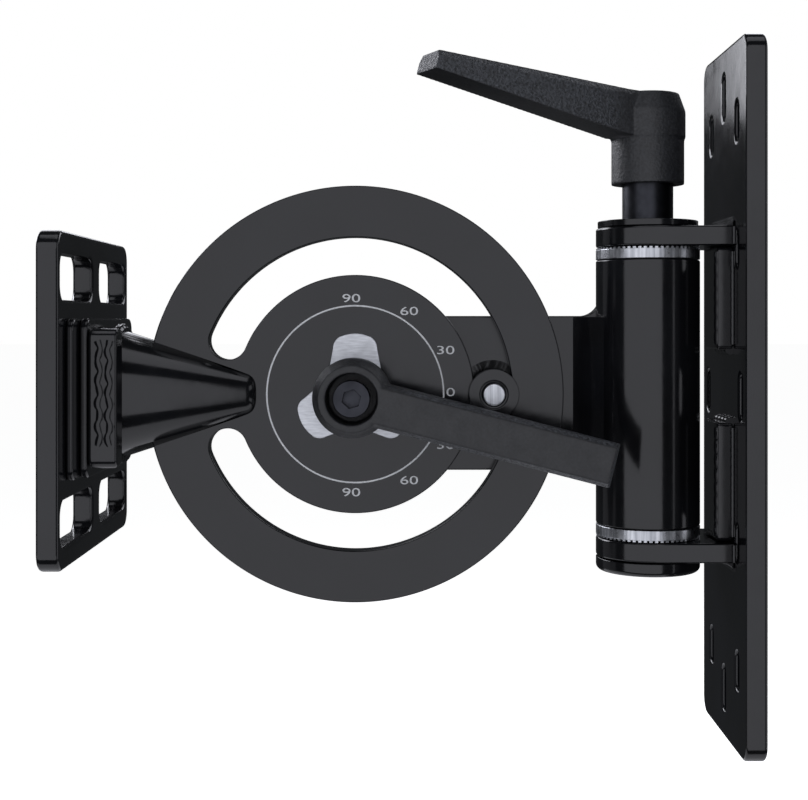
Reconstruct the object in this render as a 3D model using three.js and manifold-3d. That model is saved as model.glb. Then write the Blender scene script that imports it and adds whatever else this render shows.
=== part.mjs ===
// A wall mount for a screen: a wall plate with a yoke, a swivel arm, and a tilting head on a dial.
// Millimetres. +Z is up, +Y points into the wall and -Y at the screen.
// The origin is the middle of the wall plate's back face.
import * as THREE from "three";
import { mergeVertices } from "three/addons/utils/BufferGeometryUtils.js";
import Module from "manifold-3d";

const wasm = await Module();
wasm.setup();

// Fits
const GAP = 0.3; // between two pieces that touch, and between a shaft and its bore
const LEVER_LIFT = 4; // how far a clamping lever lifts off its teeth
const OVERRUN = 1; // how far a cutting tool runs past the face it goes through

// Wall plate
const WALL_PLATE_WIDTH = 75;
const WALL_PLATE_HEIGHT = 267;
const WALL_PLATE_THICKNESS = 8;
const WALL_PLATE_CORNER = 7;
const WALL_SLOT_WIDTH = 6.8;
// Slots for wall screws: from the plate's end to the slot, the slot's length, and from the side
const END_SLOT = { fromEnd: 9.5, length: 18.5, fromSide: WALL_PLATE_WIDTH / 2 };
const OUTER_SLOT = { fromEnd: 23, length: 15.5, fromSide: 15.5 };
const INNER_SLOT = { fromEnd: 71.2, length: 14.8, fromSide: 15.5 };
const MIDDLE_SLOT = { length: 18, fromSide: 9.5 };

// Yoke and swivel axis
const TUBE_MIDDLE_HEIGHT = 0.5;
const TUBE_LENGTH = 102;
const TUBE_RADIUS = 20;
const TUBE_BORE_RADIUS = 15;
const RING_THICKNESS = 4.4;
const RING_TEETH = 60;
const RING_TOOTH_DEPTH = 0.6;
const LUG_THICKNESS = 7.5;
const WEB_WIDTH = 24.4;
const WEB_DIAL_SIDE = 17.4; // from the middle to the side of each web that faces the dial side
const WEB_THICKNESS = 5.7;
const WEB_CLEARANCE = 3.5; // from a web to the tube
const UPPER_WEB_LENGTH = 39;
const LOWER_WEB_LENGTH = 45;
// From the wall to the swivel axis
const SWIVEL_STANDOFF = WALL_PLATE_THICKNESS + GAP + WEB_THICKNESS + WEB_CLEARANCE + TUBE_RADIUS;
const STUD_RADIUS = 6;
const STUD_CHAMFER = 1;
const KING_HEAD_RADIUS = 12;
const KING_HEAD_THICKNESS = 2.6;
const COLLAR_RADIUS = 19.3;
const COLLAR_THICKNESS = 2.4;
const CAP_THICKNESS = 5.2;
const CAP_RIM_RADIUS = 4.5;
const BUSH_LENGTH = 20;

// Swivel arm
const PIVOT_REACH = 113.5; // from the swivel axis to the tilt axis
const ARM_THICKNESS = 8;
const ARM_HALF_HEIGHT = 30;
const ARM_COVE_RADIUS = 8;
const ARM_COVE_INSET = 2; // the arm's coves end this far inside the tube's side
const HEX_HEAD_ACROSS_FLATS = 19;
const HEX_HEAD_THICKNESS = 7.5;

// Tilt disc and its guide
const DISC_RADIUS = 80;
const DISC_THICKNESS = 8;
const DISC_BORE_RADIUS = 8.5;
const SLOT_MIDDLE_RADIUS = 53;
const SLOT_WIDTH = 14.5;
const SLOT_END_DEGREES = 157.3; // to the middle of the slot's round end, each way from the wall side
const GUIDE_PIN_RADIUS = 4.2;
const GUIDE_PIN_STANDS_OUT = 1.8;
const GUIDE_PIN_TAIL = 1.5; // past its nut
const GUIDE_PIN_CHAMFER = 0.8;
const GUIDE_FLANGE_RADIUS = 9.7;
const GUIDE_FLANGE_THICKNESS = 3.5;
const GUIDE_FLANGE_CHAMFER = 0.5;
const GUIDE_WASHER_RADIUS = 13;
const GUIDE_WASHER_THICKNESS = 0.6;
const GUIDE_NUT_ACROSS_FLATS = 13;
const GUIDE_NUT_THICKNESS = 6;
const LOBE_REACH = 23.3;
const LOBE_WIDTH = 17;
const LOBE_CORNER = 4;
const LOBE_PLATE_THICKNESS = 1.5;

// Head that carries the screen
const SCREEN_PLATE_SIZE = 120;
const SCREEN_PLATE_THICKNESS = 8;
const SCREEN_PLATE_CORNER = 7;
const HEAD_REACH = 109; // from the tilt axis to the face that the screen sits on
const WINDOW_NEAR_MIDDLE = 5.8;
const WINDOW_WIDTH = 50.1;
const WINDOW_HEIGHT = 16.5;
const WINDOW_FROM_MIDDLE = 43.75;
const WINDOW_CORNER = 5.5;
const ADAPTER_HALF_WIDTH = 50;
const ADAPTER_HALF_HEIGHT = 29;
const ADAPTER_THICKNESS = 2.4;
const ADAPTER_CORNER = 5;
const SPACER_HALF_WIDTH = 41;
const SPACER_THICKNESS = 2.7;
const CONE_RADIUS = 25; // at its large end
const CONE_BASE_RADIUS = 25.2;
const CONE_BASE_THICKNESS = 3.7;
const CONE_TIP_RADIUS = 7.7;
const CONE_TIP_REACH = 38; // from the tilt axis to the cone's small end
const CONE_SHIFT = DISC_THICKNESS / 2; // the cone's axis runs through the middle of the disc
const SIDE_BLOCK_WIDTH = 11.5;
const SIDE_BLOCK_HALF_HEIGHT = 25.4;
const SIDE_BLOCK_THICKNESS = 10.3;

// Clamping levers, measured from the bottom of the hub
const HUB_RADIUS = 14;
const HUB_HEIGHT = 35;
const HUB_SHOULDER_RADIUS = 14.5;
const HUB_SHOULDER_HEIGHT = 18;
const HUB_SHOULDER_SLOPE = 1;
const HUB_CHAMFER_HEIGHT = 7;
const HUB_TOP_RADIUS = 12;
const HUB_RECESS_RADIUS = 9.4;
const HUB_RECESS_FLOOR = 20;
const LEVER_ARM_WIDTH = 16;
const LEVER_REACH = 97;
const LEVER_TIP_LOW = 36.6;
const LEVER_TIP_SLANT = 2;
const LEVER_TIP_HEIGHT = 6.9;
const INSERT_RADIUS = 9.8;
const INSERT_TEETH = 12;
const INSERT_TOOTH_DEPTH = 1.2;
const INSERT_TOOTH_HEIGHT = 3.5;
const INSERT_HEIGHT = 14;
const INSERT_BORE_HEIGHT = 9.8;
const STEM_LENGTH = 14; // of the swivel lever's insert, below its hub
const SCREW_RADIUS = 3;
const SCREW_HEAD_RADIUS = 6.7;
const SCREW_HEAD_HEIGHT = 5.5;
const SCREW_HEAD_CHAMFER = 0.6;
const SCREW_SOCKET_ACROSS_FLATS = 6;
const SCREW_SOCKET_DEPTH = 3.5;
const SPRING_WIRE_RADIUS = 0.4;
const SPRING_RADIUS = 5;
const SPRING_TURNS = 2.5;
const SPRING_PITCH = 1;
const SWIVEL_LEVER_TURN_DEGREES = 26.5; // from straight ahead towards the dial's side
const TILT_LEVER_DROOP_DEGREES = 14;

// Steps along an arc
const WIDE_ROUND_STEPS = 96;
const ROUND_STEPS = 48;
const MIDDLE_ROUND_STEPS = 32;
const SMALL_ROUND_STEPS = 24;
const CORNER_STEPS = 3;
const SLOT_END_STEPS = 4;
const CAP_RIM_STEPS = 5;
const ARM_END_STEPS = 12;
const DISC_SLOT_STEPS = 36;
const SPRING_STEPS = 40;
const WELD_DISTANCE = 1e-4;

const quarterTurn = Math.PI / 2;
const radians = THREE.MathUtils.degToRad;

// ---- Solids from three.js geometry ----

function toSolid(geometry) {
  const bare = new THREE.BufferGeometry();
  bare.setAttribute("position", geometry.getAttribute("position"));
  bare.setIndex(geometry.index);
  const welded = mergeVertices(bare, WELD_DISTANCE);
  const corners = Array.from(welded.index.array);
  const triangles = [];
  for (let i = 0; i < corners.length; i += 3) {
    const [a, b, c] = corners.slice(i, i + 3);
    if (a !== b && b !== c && c !== a) {
      triangles.push(a, b, c);
    }
  }
  const mesh = new wasm.Mesh({
    numProp: 3,
    vertProperties: new Float32Array(welded.getAttribute("position").array),
    triVerts: new Uint32Array(triangles),
  });
  return new wasm.Manifold(mesh);
}

function cut(body, ...tools) {
  return tools.reduce((rest, tool) => rest.subtract(tool), body);
}

function join(first, ...others) {
  return others.reduce((sum, other) => sum.add(other), first);
}

function block(size, middle) {
  const geometry = new THREE.BoxGeometry(size.x, size.y, size.z);
  geometry.translate(middle.x, middle.y, middle.z);
  return toSolid(geometry);
}

// Flat pieces: an outline in two axes, between two places along the third
function slab(outline, thickness, arcSteps) {
  const settings = { depth: thickness, bevelEnabled: false, curveSegments: arcSteps };
  return new THREE.ExtrudeGeometry(outline, settings);
}

function slabAcrossX(outline, from, to, arcSteps = CORNER_STEPS, turn = 0) {
  const geometry = slab(outline, to - from, arcSteps);
  geometry.rotateZ(turn);
  const axes = new THREE.Matrix4();
  axes.makeBasis(new THREE.Vector3(0, 1, 0), new THREE.Vector3(0, 0, 1), new THREE.Vector3(1, 0, 0));
  geometry.applyMatrix4(axes);
  geometry.translate(from, 0, 0);
  return toSolid(geometry);
}

function slabAcrossY(outline, from, to, arcSteps = CORNER_STEPS) {
  const geometry = slab(outline, to - from, arcSteps);
  geometry.rotateX(quarterTurn);
  geometry.translate(0, to, 0);
  return toSolid(geometry);
}

function slabAcrossZ(outline, from, to, arcSteps = CORNER_STEPS) {
  const geometry = slab(outline, to - from, arcSteps);
  geometry.translate(0, 0, from);
  return toSolid(geometry);
}

// Turned pieces: a profile of [radius, place along the axis] points
function turned(profile, steps) {
  const points = profile.map(([radius, along]) => new THREE.Vector2(radius, along));
  return new THREE.LatheGeometry(points, steps);
}

function turnedAboutX(profile, steps = ROUND_STEPS, y = 0) {
  const geometry = turned(profile, steps);
  geometry.rotateZ(-quarterTurn);
  geometry.translate(0, y, 0);
  return toSolid(geometry);
}

function turnedAboutY(profile, steps = ROUND_STEPS, x = 0) {
  const geometry = turned(profile, steps);
  geometry.translate(x, 0, 0);
  return toSolid(geometry);
}

function turnedAboutZ(profile, steps = ROUND_STEPS) {
  const geometry = turned(profile, steps);
  geometry.rotateX(quarterTurn);
  return toSolid(geometry);
}

function rodProfile(radius, from, to) {
  return [[0, from], [radius, from], [radius, to], [0, to]];
}

function ringProfile(bore, radius, from, to) {
  return [[bore, from], [radius, from], [radius, to], [bore, to], [bore, from]];
}

// Round holes right through, running past both faces
function boreAcrossX(radius, from, to, y = 0) {
  return turnedAboutX(rodProfile(radius, from - OVERRUN, to + OVERRUN), SMALL_ROUND_STEPS, y);
}

function boreAcrossZ(radius, from, to) {
  return turnedAboutZ(rodProfile(radius, from - OVERRUN, to + OVERRUN), SMALL_ROUND_STEPS);
}

// ---- Outlines ----

function roundedRectangle(left, right, bottom, top, corner) {
  const outline = new THREE.Shape();
  outline.absarc(right - corner, top - corner, corner, 0, quarterTurn);
  outline.absarc(left + corner, top - corner, corner, quarterTurn, 2 * quarterTurn);
  outline.absarc(left + corner, bottom + corner, corner, 2 * quarterTurn, 3 * quarterTurn);
  outline.absarc(right - corner, bottom + corner, corner, 3 * quarterTurn, 4 * quarterTurn);
  outline.closePath();
  return outline;
}

function uprightSlot(x, bottom, top, width) {
  const radius = width / 2;
  const outline = new THREE.Shape();
  outline.absarc(x, top - radius, radius, 0, Math.PI);
  outline.absarc(x, bottom + radius, radius, Math.PI, 2 * Math.PI);
  outline.closePath();
  return outline;
}

function hexagon(acrossFlats) {
  const radius = acrossFlats / Math.sqrt(3);
  const outline = new THREE.Shape();
  for (let corner = 0; corner < 6; corner += 1) {
    const angle = corner * radians(60);
    const point = [radius * Math.cos(angle), radius * Math.sin(angle)];
    if (corner === 0) {
      outline.moveTo(...point);
    } else {
      outline.lineTo(...point);
    }
  }
  outline.closePath();
  return outline;
}

function toothedRound(radius, depth, teeth) {
  const outline = new THREE.Shape();
  for (let step = 0; step < 2 * teeth; step += 1) {
    const angle = (step * Math.PI) / teeth;
    const reach = step % 2 === 0 ? radius : radius - depth;
    const point = [reach * Math.cos(angle), reach * Math.sin(angle)];
    if (step === 0) {
      outline.moveTo(...point);
    } else {
      outline.lineTo(...point);
    }
  }
  outline.closePath();
  return outline;
}

// ---- Named meshes ----

const finishes = {
  powderCoat: { color: 0x1d1e21, roughness: 0.32, metalness: 0.0 },
  grainedBlack: { color: 0x222225, roughness: 0.6, metalness: 0.0 },
  brightSteel: { color: 0xb9babc, roughness: 0.3, metalness: 1.0 },
  blackSteel: { color: 0x26272a, roughness: 0.42, metalness: 0.8 },
  bronze: { color: 0x9a7442, roughness: 0.45, metalness: 1.0 },
  springSteel: { color: 0x8d8f93, roughness: 0.35, metalness: 1.0 },
};

function named(name, solid, finish) {
  const { vertProperties, triVerts } = solid.getMesh();
  const geometry = new THREE.BufferGeometry();
  geometry.setAttribute("position", new THREE.BufferAttribute(new Float32Array(vertProperties), 3));
  geometry.setIndex(new THREE.BufferAttribute(new Uint32Array(triVerts), 1));
  geometry.computeVertexNormals();
  const mesh = new THREE.Mesh(geometry, new THREE.MeshStandardMaterial(finishes[finish]));
  mesh.name = name;
  return mesh;
}

// ---- Wall bracket: plate, yoke lugs and webs ----

const tubeTop = TUBE_MIDDLE_HEIGHT + TUBE_LENGTH / 2;
const tubeBottom = TUBE_MIDDLE_HEIGHT - TUBE_LENGTH / 2;
const upperRingBottom = tubeTop + GAP;
const upperRingTop = upperRingBottom + RING_THICKNESS;
const lowerRingTop = tubeBottom - GAP;
const lowerRingBottom = lowerRingTop - RING_THICKNESS;
const upperLugBottom = upperRingTop + GAP;
const upperLugTop = upperLugBottom + LUG_THICKNESS;
const lowerLugTop = lowerRingBottom - GAP;
const lowerLugBottom = lowerLugTop - LUG_THICKNESS;
const wallPlateFront = -WALL_PLATE_THICKNESS;
const studBore = STUD_RADIUS + GAP;

function wallPlate() {
  const halfWidth = WALL_PLATE_WIDTH / 2;
  const halfHeight = WALL_PLATE_HEIGHT / 2;
  const outline = roundedRectangle(-halfWidth, halfWidth, -halfHeight, halfHeight, WALL_PLATE_CORNER);
  const slots = [];
  function addSlot(x, bottom, top) {
    const slot = uprightSlot(x, bottom, top, WALL_SLOT_WIDTH);
    slots.push(slabAcrossY(slot, wallPlateFront - OVERRUN, OVERRUN, SLOT_END_STEPS));
  }
  for (const { fromEnd, length, fromSide } of [END_SLOT, OUTER_SLOT, INNER_SLOT]) {
    const column = halfWidth - fromSide;
    const far = halfHeight - fromEnd;
    const near = far - length;
    const columns = column === 0 ? [0] : [-column, column];
    for (const x of columns) {
      addSlot(x, near, far);
      addSlot(x, -far, -near);
    }
  }
  for (const side of [-1, 1]) {
    const column = side * (halfWidth - MIDDLE_SLOT.fromSide);
    addSlot(column, -MIDDLE_SLOT.length / 2, MIDDLE_SLOT.length / 2);
  }
  return cut(slabAcrossY(outline, wallPlateFront, 0), ...slots);
}

// A lug reaches from the wall plate to the swivel axis, with a round end about the axis
function lug(bottom, top) {
  const root = SWIVEL_STANDOFF - WALL_PLATE_THICKNESS - GAP;
  const outline = new THREE.Shape();
  outline.moveTo(TUBE_RADIUS, root);
  outline.lineTo(-TUBE_RADIUS, root);
  outline.absarc(0, 0, TUBE_RADIUS, Math.PI, 2 * Math.PI);
  outline.closePath();
  return cut(slabAcrossZ(outline, bottom, top, SMALL_ROUND_STEPS), boreAcrossZ(studBore, bottom, top));
}

// A web is the upright bar of the yoke, on the wall plate between a lug and the window
function web(bottom, top) {
  const front = wallPlateFront - GAP - WEB_THICKNESS;
  const size = new THREE.Vector3(WEB_WIDTH, WEB_THICKNESS, top - bottom);
  const middleX = WEB_DIAL_SIDE - WEB_WIDTH / 2;
  return block(size, new THREE.Vector3(middleX, front + WEB_THICKNESS / 2, (bottom + top) / 2));
}

function serratedRing(bottom, top) {
  const outline = toothedRound(TUBE_RADIUS, RING_TOOTH_DEPTH, RING_TEETH);
  return cut(slabAcrossZ(outline, bottom, top), boreAcrossZ(TUBE_BORE_RADIUS, bottom, top));
}

// ---- Swivel axis: king bolt, collar and cap ----

const collarBottom = upperLugTop + GAP;
const collarTop = collarBottom + COLLAR_THICKNESS;
const swivelHubBottom = collarTop + GAP + STEM_LENGTH;
const capTop = lowerLugBottom - GAP;

function kingBolt() {
  const headTop = capTop;
  const headBottom = headTop - KING_HEAD_THICKNESS;
  const end = swivelHubBottom + INSERT_BORE_HEIGHT - GAP;
  return turnedAboutZ([
    [0, headBottom],
    [KING_HEAD_RADIUS, headBottom],
    [KING_HEAD_RADIUS, headTop],
    [STUD_RADIUS, headTop],
    [STUD_RADIUS, end - STUD_CHAMFER],
    [STUD_RADIUS - STUD_CHAMFER, end],
    [0, end],
  ], SMALL_ROUND_STEPS);
}

function bottomCap() {
  const bottom = capTop - CAP_THICKNESS;
  const recessRadius = KING_HEAD_RADIUS + GAP;
  const recessFloor = capTop - KING_HEAD_THICKNESS - GAP;
  const rimMiddle = TUBE_RADIUS - CAP_RIM_RADIUS;
  const profile = [[0, bottom]];
  for (let step = 0; step <= CAP_RIM_STEPS; step += 1) {
    const angle = (step * quarterTurn) / CAP_RIM_STEPS;
    const radius = rimMiddle + CAP_RIM_RADIUS * Math.sin(angle);
    profile.push([radius, bottom + CAP_RIM_RADIUS * (1 - Math.cos(angle))]);
  }
  profile.push([TUBE_RADIUS, capTop], [recessRadius, capTop], [recessRadius, recessFloor], [0, recessFloor]);
  return turnedAboutZ(profile);
}

// ---- Swivel arm ----

const armFront = -GAP;
const armBack = armFront - ARM_THICKNESS;
const guideY = SLOT_MIDDLE_RADIUS - PIVOT_REACH; // of the guide pin, from the swivel axis
const pinBore = GUIDE_PIN_RADIUS + GAP;

function armPlate() {
  const coveStart = -(TUBE_RADIUS - ARM_COVE_INSET + ARM_COVE_RADIUS);
  const coveHeight = ARM_HALF_HEIGHT + ARM_COVE_RADIUS;
  const outline = new THREE.Shape();
  outline.absarc(-PIVOT_REACH, 0, ARM_HALF_HEIGHT, quarterTurn, 3 * quarterTurn);
  outline.absarc(coveStart, -coveHeight, ARM_COVE_RADIUS, quarterTurn, 0, true);
  outline.lineTo(0, -coveHeight);
  outline.lineTo(0, coveHeight);
  outline.absarc(coveStart, coveHeight, ARM_COVE_RADIUS, 0, -quarterTurn, true);
  outline.closePath();
  const tubeRoom = turnedAboutZ(rodProfile(TUBE_RADIUS + GAP, -TUBE_LENGTH, TUBE_LENGTH));
  const studRoom = boreAcrossX(studBore, armBack, armFront, -PIVOT_REACH);
  const washerSeat = armFront - GUIDE_WASHER_THICKNESS - GAP;
  const washerRoomRadius = GUIDE_WASHER_RADIUS + GAP;
  const pinRoom = turnedAboutX([
    [0, armBack - OVERRUN],
    [pinBore, armBack - OVERRUN],
    [pinBore, washerSeat],
    [washerRoomRadius, washerSeat],
    [washerRoomRadius, OVERRUN],
    [0, OVERRUN],
  ], SMALL_ROUND_STEPS, guideY);
  return cut(slabAcrossX(outline, armBack, armFront, ARM_END_STEPS), tubeRoom, studRoom, pinRoom);
}

const discFront = DISC_THICKNESS;
const guideFlangeBack = discFront + GAP;
const guideFlangeFront = guideFlangeBack + GUIDE_FLANGE_THICKNESS;
const lobePlateFront = discFront + GAP + LOBE_PLATE_THICKNESS;
const tiltHubBottom = lobePlateFront + 2 * GAP;

function guideBoss() {
  const sleeveRadius = SLOT_WIDTH / 2 - GAP;
  return turnedAboutX([
    [pinBore, 0],
    [sleeveRadius, 0],
    [sleeveRadius, guideFlangeBack],
    [GUIDE_FLANGE_RADIUS, guideFlangeBack],
    [GUIDE_FLANGE_RADIUS, guideFlangeFront - GUIDE_FLANGE_CHAMFER],
    [GUIDE_FLANGE_RADIUS - GUIDE_FLANGE_CHAMFER, guideFlangeFront],
    [pinBore, guideFlangeFront],
    [pinBore, 0],
  ], MIDDLE_ROUND_STEPS, guideY);
}

function guidePin() {
  const back = armBack - GAP - GUIDE_NUT_THICKNESS - GUIDE_PIN_TAIL;
  const front = guideFlangeFront + GUIDE_PIN_STANDS_OUT;
  const endRadius = GUIDE_PIN_RADIUS - GUIDE_PIN_CHAMFER;
  return turnedAboutX([
    [0, back],
    [endRadius, back],
    [GUIDE_PIN_RADIUS, back + GUIDE_PIN_CHAMFER],
    [GUIDE_PIN_RADIUS, front - GUIDE_PIN_CHAMFER],
    [endRadius, front],
    [0, front],
  ], SMALL_ROUND_STEPS, guideY);
}

function guideNut() {
  const outline = hexagon(GUIDE_NUT_ACROSS_FLATS);
  const front = armBack - GAP;
  const back = front - GUIDE_NUT_THICKNESS;
  return cut(slabAcrossX(outline, back, front), boreAcrossX(pinBore, back, front));
}

function tiltBolt() {
  const headFront = armBack - GAP;
  const head = slabAcrossX(hexagon(HEX_HEAD_ACROSS_FLATS), headFront - HEX_HEAD_THICKNESS, headFront);
  const end = tiltHubBottom + INSERT_BORE_HEIGHT - GAP;
  const shank = turnedAboutX([
    [0, headFront - OVERRUN],
    [STUD_RADIUS, headFront - OVERRUN],
    [STUD_RADIUS, end - STUD_CHAMFER],
    [STUD_RADIUS - STUD_CHAMFER, end],
    [0, end],
  ], SMALL_ROUND_STEPS);
  return join(head, shank);
}

// ---- Tilting head ----

function tiltDisc() {
  const arcEnd = radians(SLOT_END_DEGREES);
  const endRadius = SLOT_WIDTH / 2;
  const outline = new THREE.Shape();
  outline.absarc(0, 0, SLOT_MIDDLE_RADIUS + endRadius, -arcEnd, arcEnd);
  const upper = new THREE.Vector2(Math.cos(arcEnd), Math.sin(arcEnd)).multiplyScalar(SLOT_MIDDLE_RADIUS);
  outline.absarc(upper.x, upper.y, endRadius, arcEnd, arcEnd + Math.PI);
  outline.absarc(0, 0, SLOT_MIDDLE_RADIUS - endRadius, arcEnd, -arcEnd, true);
  outline.absarc(upper.x, -upper.y, endRadius, Math.PI - arcEnd, 2 * Math.PI - arcEnd);
  outline.closePath();
  const slot = slabAcrossX(outline, -OVERRUN, DISC_THICKNESS + OVERRUN, DISC_SLOT_STEPS);
  const disc = turnedAboutX(ringProfile(DISC_BORE_RADIUS, DISC_RADIUS, 0, DISC_THICKNESS), WIDE_ROUND_STEPS);
  return cut(disc, slot);
}

function lobePlate() {
  const half = LOBE_WIDTH / 2;
  const back = discFront + GAP;
  const outline = roundedRectangle(-half, half, -half, LOBE_REACH, LOBE_CORNER);
  const lobes = [0, 120, 240].map((degrees) => {
    return slabAcrossX(outline, back, lobePlateFront, CORNER_STEPS, radians(degrees));
  });
  return cut(join(...lobes), boreAcrossX(studBore, back, lobePlateFront));
}

const screenPlateBack = -HEAD_REACH + SCREEN_PLATE_THICKNESS;
const adapterFront = screenPlateBack + GAP;
const adapterBack = adapterFront + ADAPTER_THICKNESS;
const spacerFront = adapterBack + GAP;
const spacerBack = spacerFront + SPACER_THICKNESS;
const coneBaseFront = spacerBack + GAP;
const coneBaseBack = coneBaseFront + CONE_BASE_THICKNESS;
const coneStart = coneBaseBack + GAP;

function coneBase() {
  return turnedAboutY(rodProfile(CONE_BASE_RADIUS, coneBaseFront, coneBaseBack), ROUND_STEPS, CONE_SHIFT);
}

// The cone is slotted for the disc, and its far half stops short of the arm's round end
function cone() {
  const profile = [
    [0, coneStart],
    [CONE_RADIUS, coneStart],
    [CONE_TIP_RADIUS, -CONE_TIP_REACH],
    [0, -CONE_TIP_REACH],
  ];
  const discRoom = turnedAboutX(rodProfile(DISC_RADIUS + GAP, -GAP, DISC_THICKNESS + GAP), WIDE_ROUND_STEPS);
  return cut(turnedAboutY(profile, ROUND_STEPS, CONE_SHIFT), discRoom);
}

function screenPlate() {
  const half = SCREEN_PLATE_SIZE / 2;
  const outline = roundedRectangle(-half, half, -half, half, SCREEN_PLATE_CORNER);
  const windows = [];
  for (const side of [-1, 1]) {
    for (const level of [-1, 1]) {
      const middle = side * (WINDOW_NEAR_MIDDLE + WINDOW_WIDTH / 2);
      const height = level * WINDOW_FROM_MIDDLE;
      const opening = roundedRectangle(
        middle - WINDOW_WIDTH / 2,
        middle + WINDOW_WIDTH / 2,
        height - WINDOW_HEIGHT / 2,
        height + WINDOW_HEIGHT / 2,
        WINDOW_CORNER,
      );
      windows.push(slabAcrossY(opening, -HEAD_REACH - OVERRUN, screenPlateBack + OVERRUN));
    }
  }
  return cut(slabAcrossY(outline, -HEAD_REACH, screenPlateBack), ...windows);
}

function layer(halfWidth, front, back) {
  const height = ADAPTER_HALF_HEIGHT;
  const outline = roundedRectangle(-halfWidth, halfWidth, -height, height, ADAPTER_CORNER);
  return slabAcrossY(outline, front, back);
}

// The block beside the cone's base, on the side of the dial
function sideBlock() {
  const inner = CONE_SHIFT + CONE_BASE_RADIUS + 2 * GAP;
  const height = SIDE_BLOCK_HALF_HEIGHT;
  const outline = roundedRectangle(inner, inner + SIDE_BLOCK_WIDTH, -height, height, ADAPTER_CORNER);
  return slabAcrossY(outline, coneBaseFront, coneBaseFront + SIDE_BLOCK_THICKNESS);
}

// ---- Clamping levers: an arm with a toothed hub, an insert on the stud, a spring and a screw ----

const screwSeat = HUB_RECESS_FLOOR + 2 * LEVER_LIFT;
const insertToothBottom = INSERT_HEIGHT - INSERT_TOOTH_HEIGHT;

function lever() {
  const hub = turnedAboutZ([
    [0, 0],
    [HUB_RADIUS, 0],
    [HUB_RADIUS, HUB_SHOULDER_HEIGHT - HUB_SHOULDER_SLOPE],
    [HUB_SHOULDER_RADIUS, HUB_SHOULDER_HEIGHT],
    [HUB_SHOULDER_RADIUS, HUB_HEIGHT - HUB_CHAMFER_HEIGHT],
    [HUB_TOP_RADIUS, HUB_HEIGHT],
    [0, HUB_HEIGHT],
  ]);
  const side = new THREE.Shape();
  side.moveTo(0, HUB_SHOULDER_HEIGHT);
  side.lineTo(-HUB_SHOULDER_RADIUS, HUB_SHOULDER_HEIGHT);
  side.lineTo(-LEVER_REACH, LEVER_TIP_LOW);
  side.lineTo(-LEVER_REACH + LEVER_TIP_SLANT, LEVER_TIP_LOW + LEVER_TIP_HEIGHT);
  side.lineTo(-HUB_TOP_RADIUS / 2, HUB_HEIGHT);
  side.lineTo(0, HUB_HEIGHT);
  side.closePath();
  const arm = slabAcrossX(side, -LEVER_ARM_WIDTH / 2, LEVER_ARM_WIDTH / 2);
  const insertRoomTop = INSERT_HEIGHT + GAP;
  const insertRadius = INSERT_RADIUS + GAP;
  const plainRoom = turnedAboutZ(rodProfile(insertRadius, -OVERRUN, insertToothBottom + GAP));
  const teeth = toothedRound(insertRadius, INSERT_TOOTH_DEPTH, INSERT_TEETH);
  const toothedRoom = slabAcrossZ(teeth, insertToothBottom - OVERRUN, insertRoomTop);
  const screwRoom = boreAcrossZ(SCREW_RADIUS + GAP, insertRoomTop, HUB_HEIGHT);
  const recess = turnedAboutZ(rodProfile(HUB_RECESS_RADIUS, HUB_RECESS_FLOOR, HUB_HEIGHT + OVERRUN));
  return cut(join(hub, arm), plainRoom, toothedRoom, screwRoom, recess);
}

function insert(stemLength) {
  const body = turnedAboutZ(rodProfile(INSERT_RADIUS, -stemLength, insertToothBottom));
  const teeth = toothedRound(INSERT_RADIUS, INSERT_TOOTH_DEPTH, INSERT_TEETH);
  const crown = slabAcrossZ(teeth, insertToothBottom - OVERRUN, INSERT_HEIGHT);
  const studProfile = rodProfile(studBore, -stemLength - OVERRUN, INSERT_BORE_HEIGHT);
  const studRoom = turnedAboutZ(studProfile, SMALL_ROUND_STEPS);
  const screwRoom = boreAcrossZ(SCREW_RADIUS + GAP, INSERT_BORE_HEIGHT, INSERT_HEIGHT);
  return cut(join(body, crown), studRoom, screwRoom);
}

function leverScrew() {
  const headTop = screwSeat + SCREW_HEAD_HEIGHT;
  const screw = turnedAboutZ([
    [0, INSERT_BORE_HEIGHT + GAP],
    [SCREW_RADIUS, INSERT_BORE_HEIGHT + GAP],
    [SCREW_RADIUS, screwSeat],
    [SCREW_HEAD_RADIUS, screwSeat],
    [SCREW_HEAD_RADIUS, headTop - SCREW_HEAD_CHAMFER],
    [SCREW_HEAD_RADIUS - SCREW_HEAD_CHAMFER, headTop],
    [0, headTop],
  ], MIDDLE_ROUND_STEPS);
  const socket = hexagon(SCREW_SOCKET_ACROSS_FLATS);
  return cut(screw, slabAcrossZ(socket, headTop - SCREW_SOCKET_DEPTH, headTop + OVERRUN));
}

class Helix extends THREE.Curve {
  constructor(radius, pitch, turns, start) {
    super();
    Object.assign(this, { radius, pitch, turns, start });
  }

  getPoint(t, target = new THREE.Vector3()) {
    const angle = t * this.turns * 2 * Math.PI;
    const height = this.start + t * this.turns * this.pitch;
    return target.set(this.radius * Math.cos(angle), this.radius * Math.sin(angle), height);
  }
}

// Drawn as short as the lifted lever squeezes it, right under the screw's head
function leverSpring() {
  const top = screwSeat - GAP - SPRING_WIRE_RADIUS;
  const path = new Helix(SPRING_RADIUS, SPRING_PITCH, SPRING_TURNS, top - SPRING_TURNS * SPRING_PITCH);
  const section = new THREE.Shape();
  section.absarc(0, 0, SPRING_WIRE_RADIUS, 0, 2 * Math.PI);
  const settings = {
    steps: SPRING_STEPS,
    extrudePath: path,
    bevelEnabled: false,
    curveSegments: CORNER_STEPS,
  };
  return toSolid(new THREE.ExtrudeGeometry(section, settings));
}

function clampingLever(name, stemLength) {
  const group = new THREE.Group();
  group.add(
    named(`${name}_insert`, insert(stemLength), "blackSteel"),
    named(`${name}_spring`, leverSpring(), "springSteel"),
    named(`${name}_screw`, leverScrew(), "blackSteel"),
    named(name, lever(), "grainedBlack"),
  );
  return group;
}

// ---- Assembly ----

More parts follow.
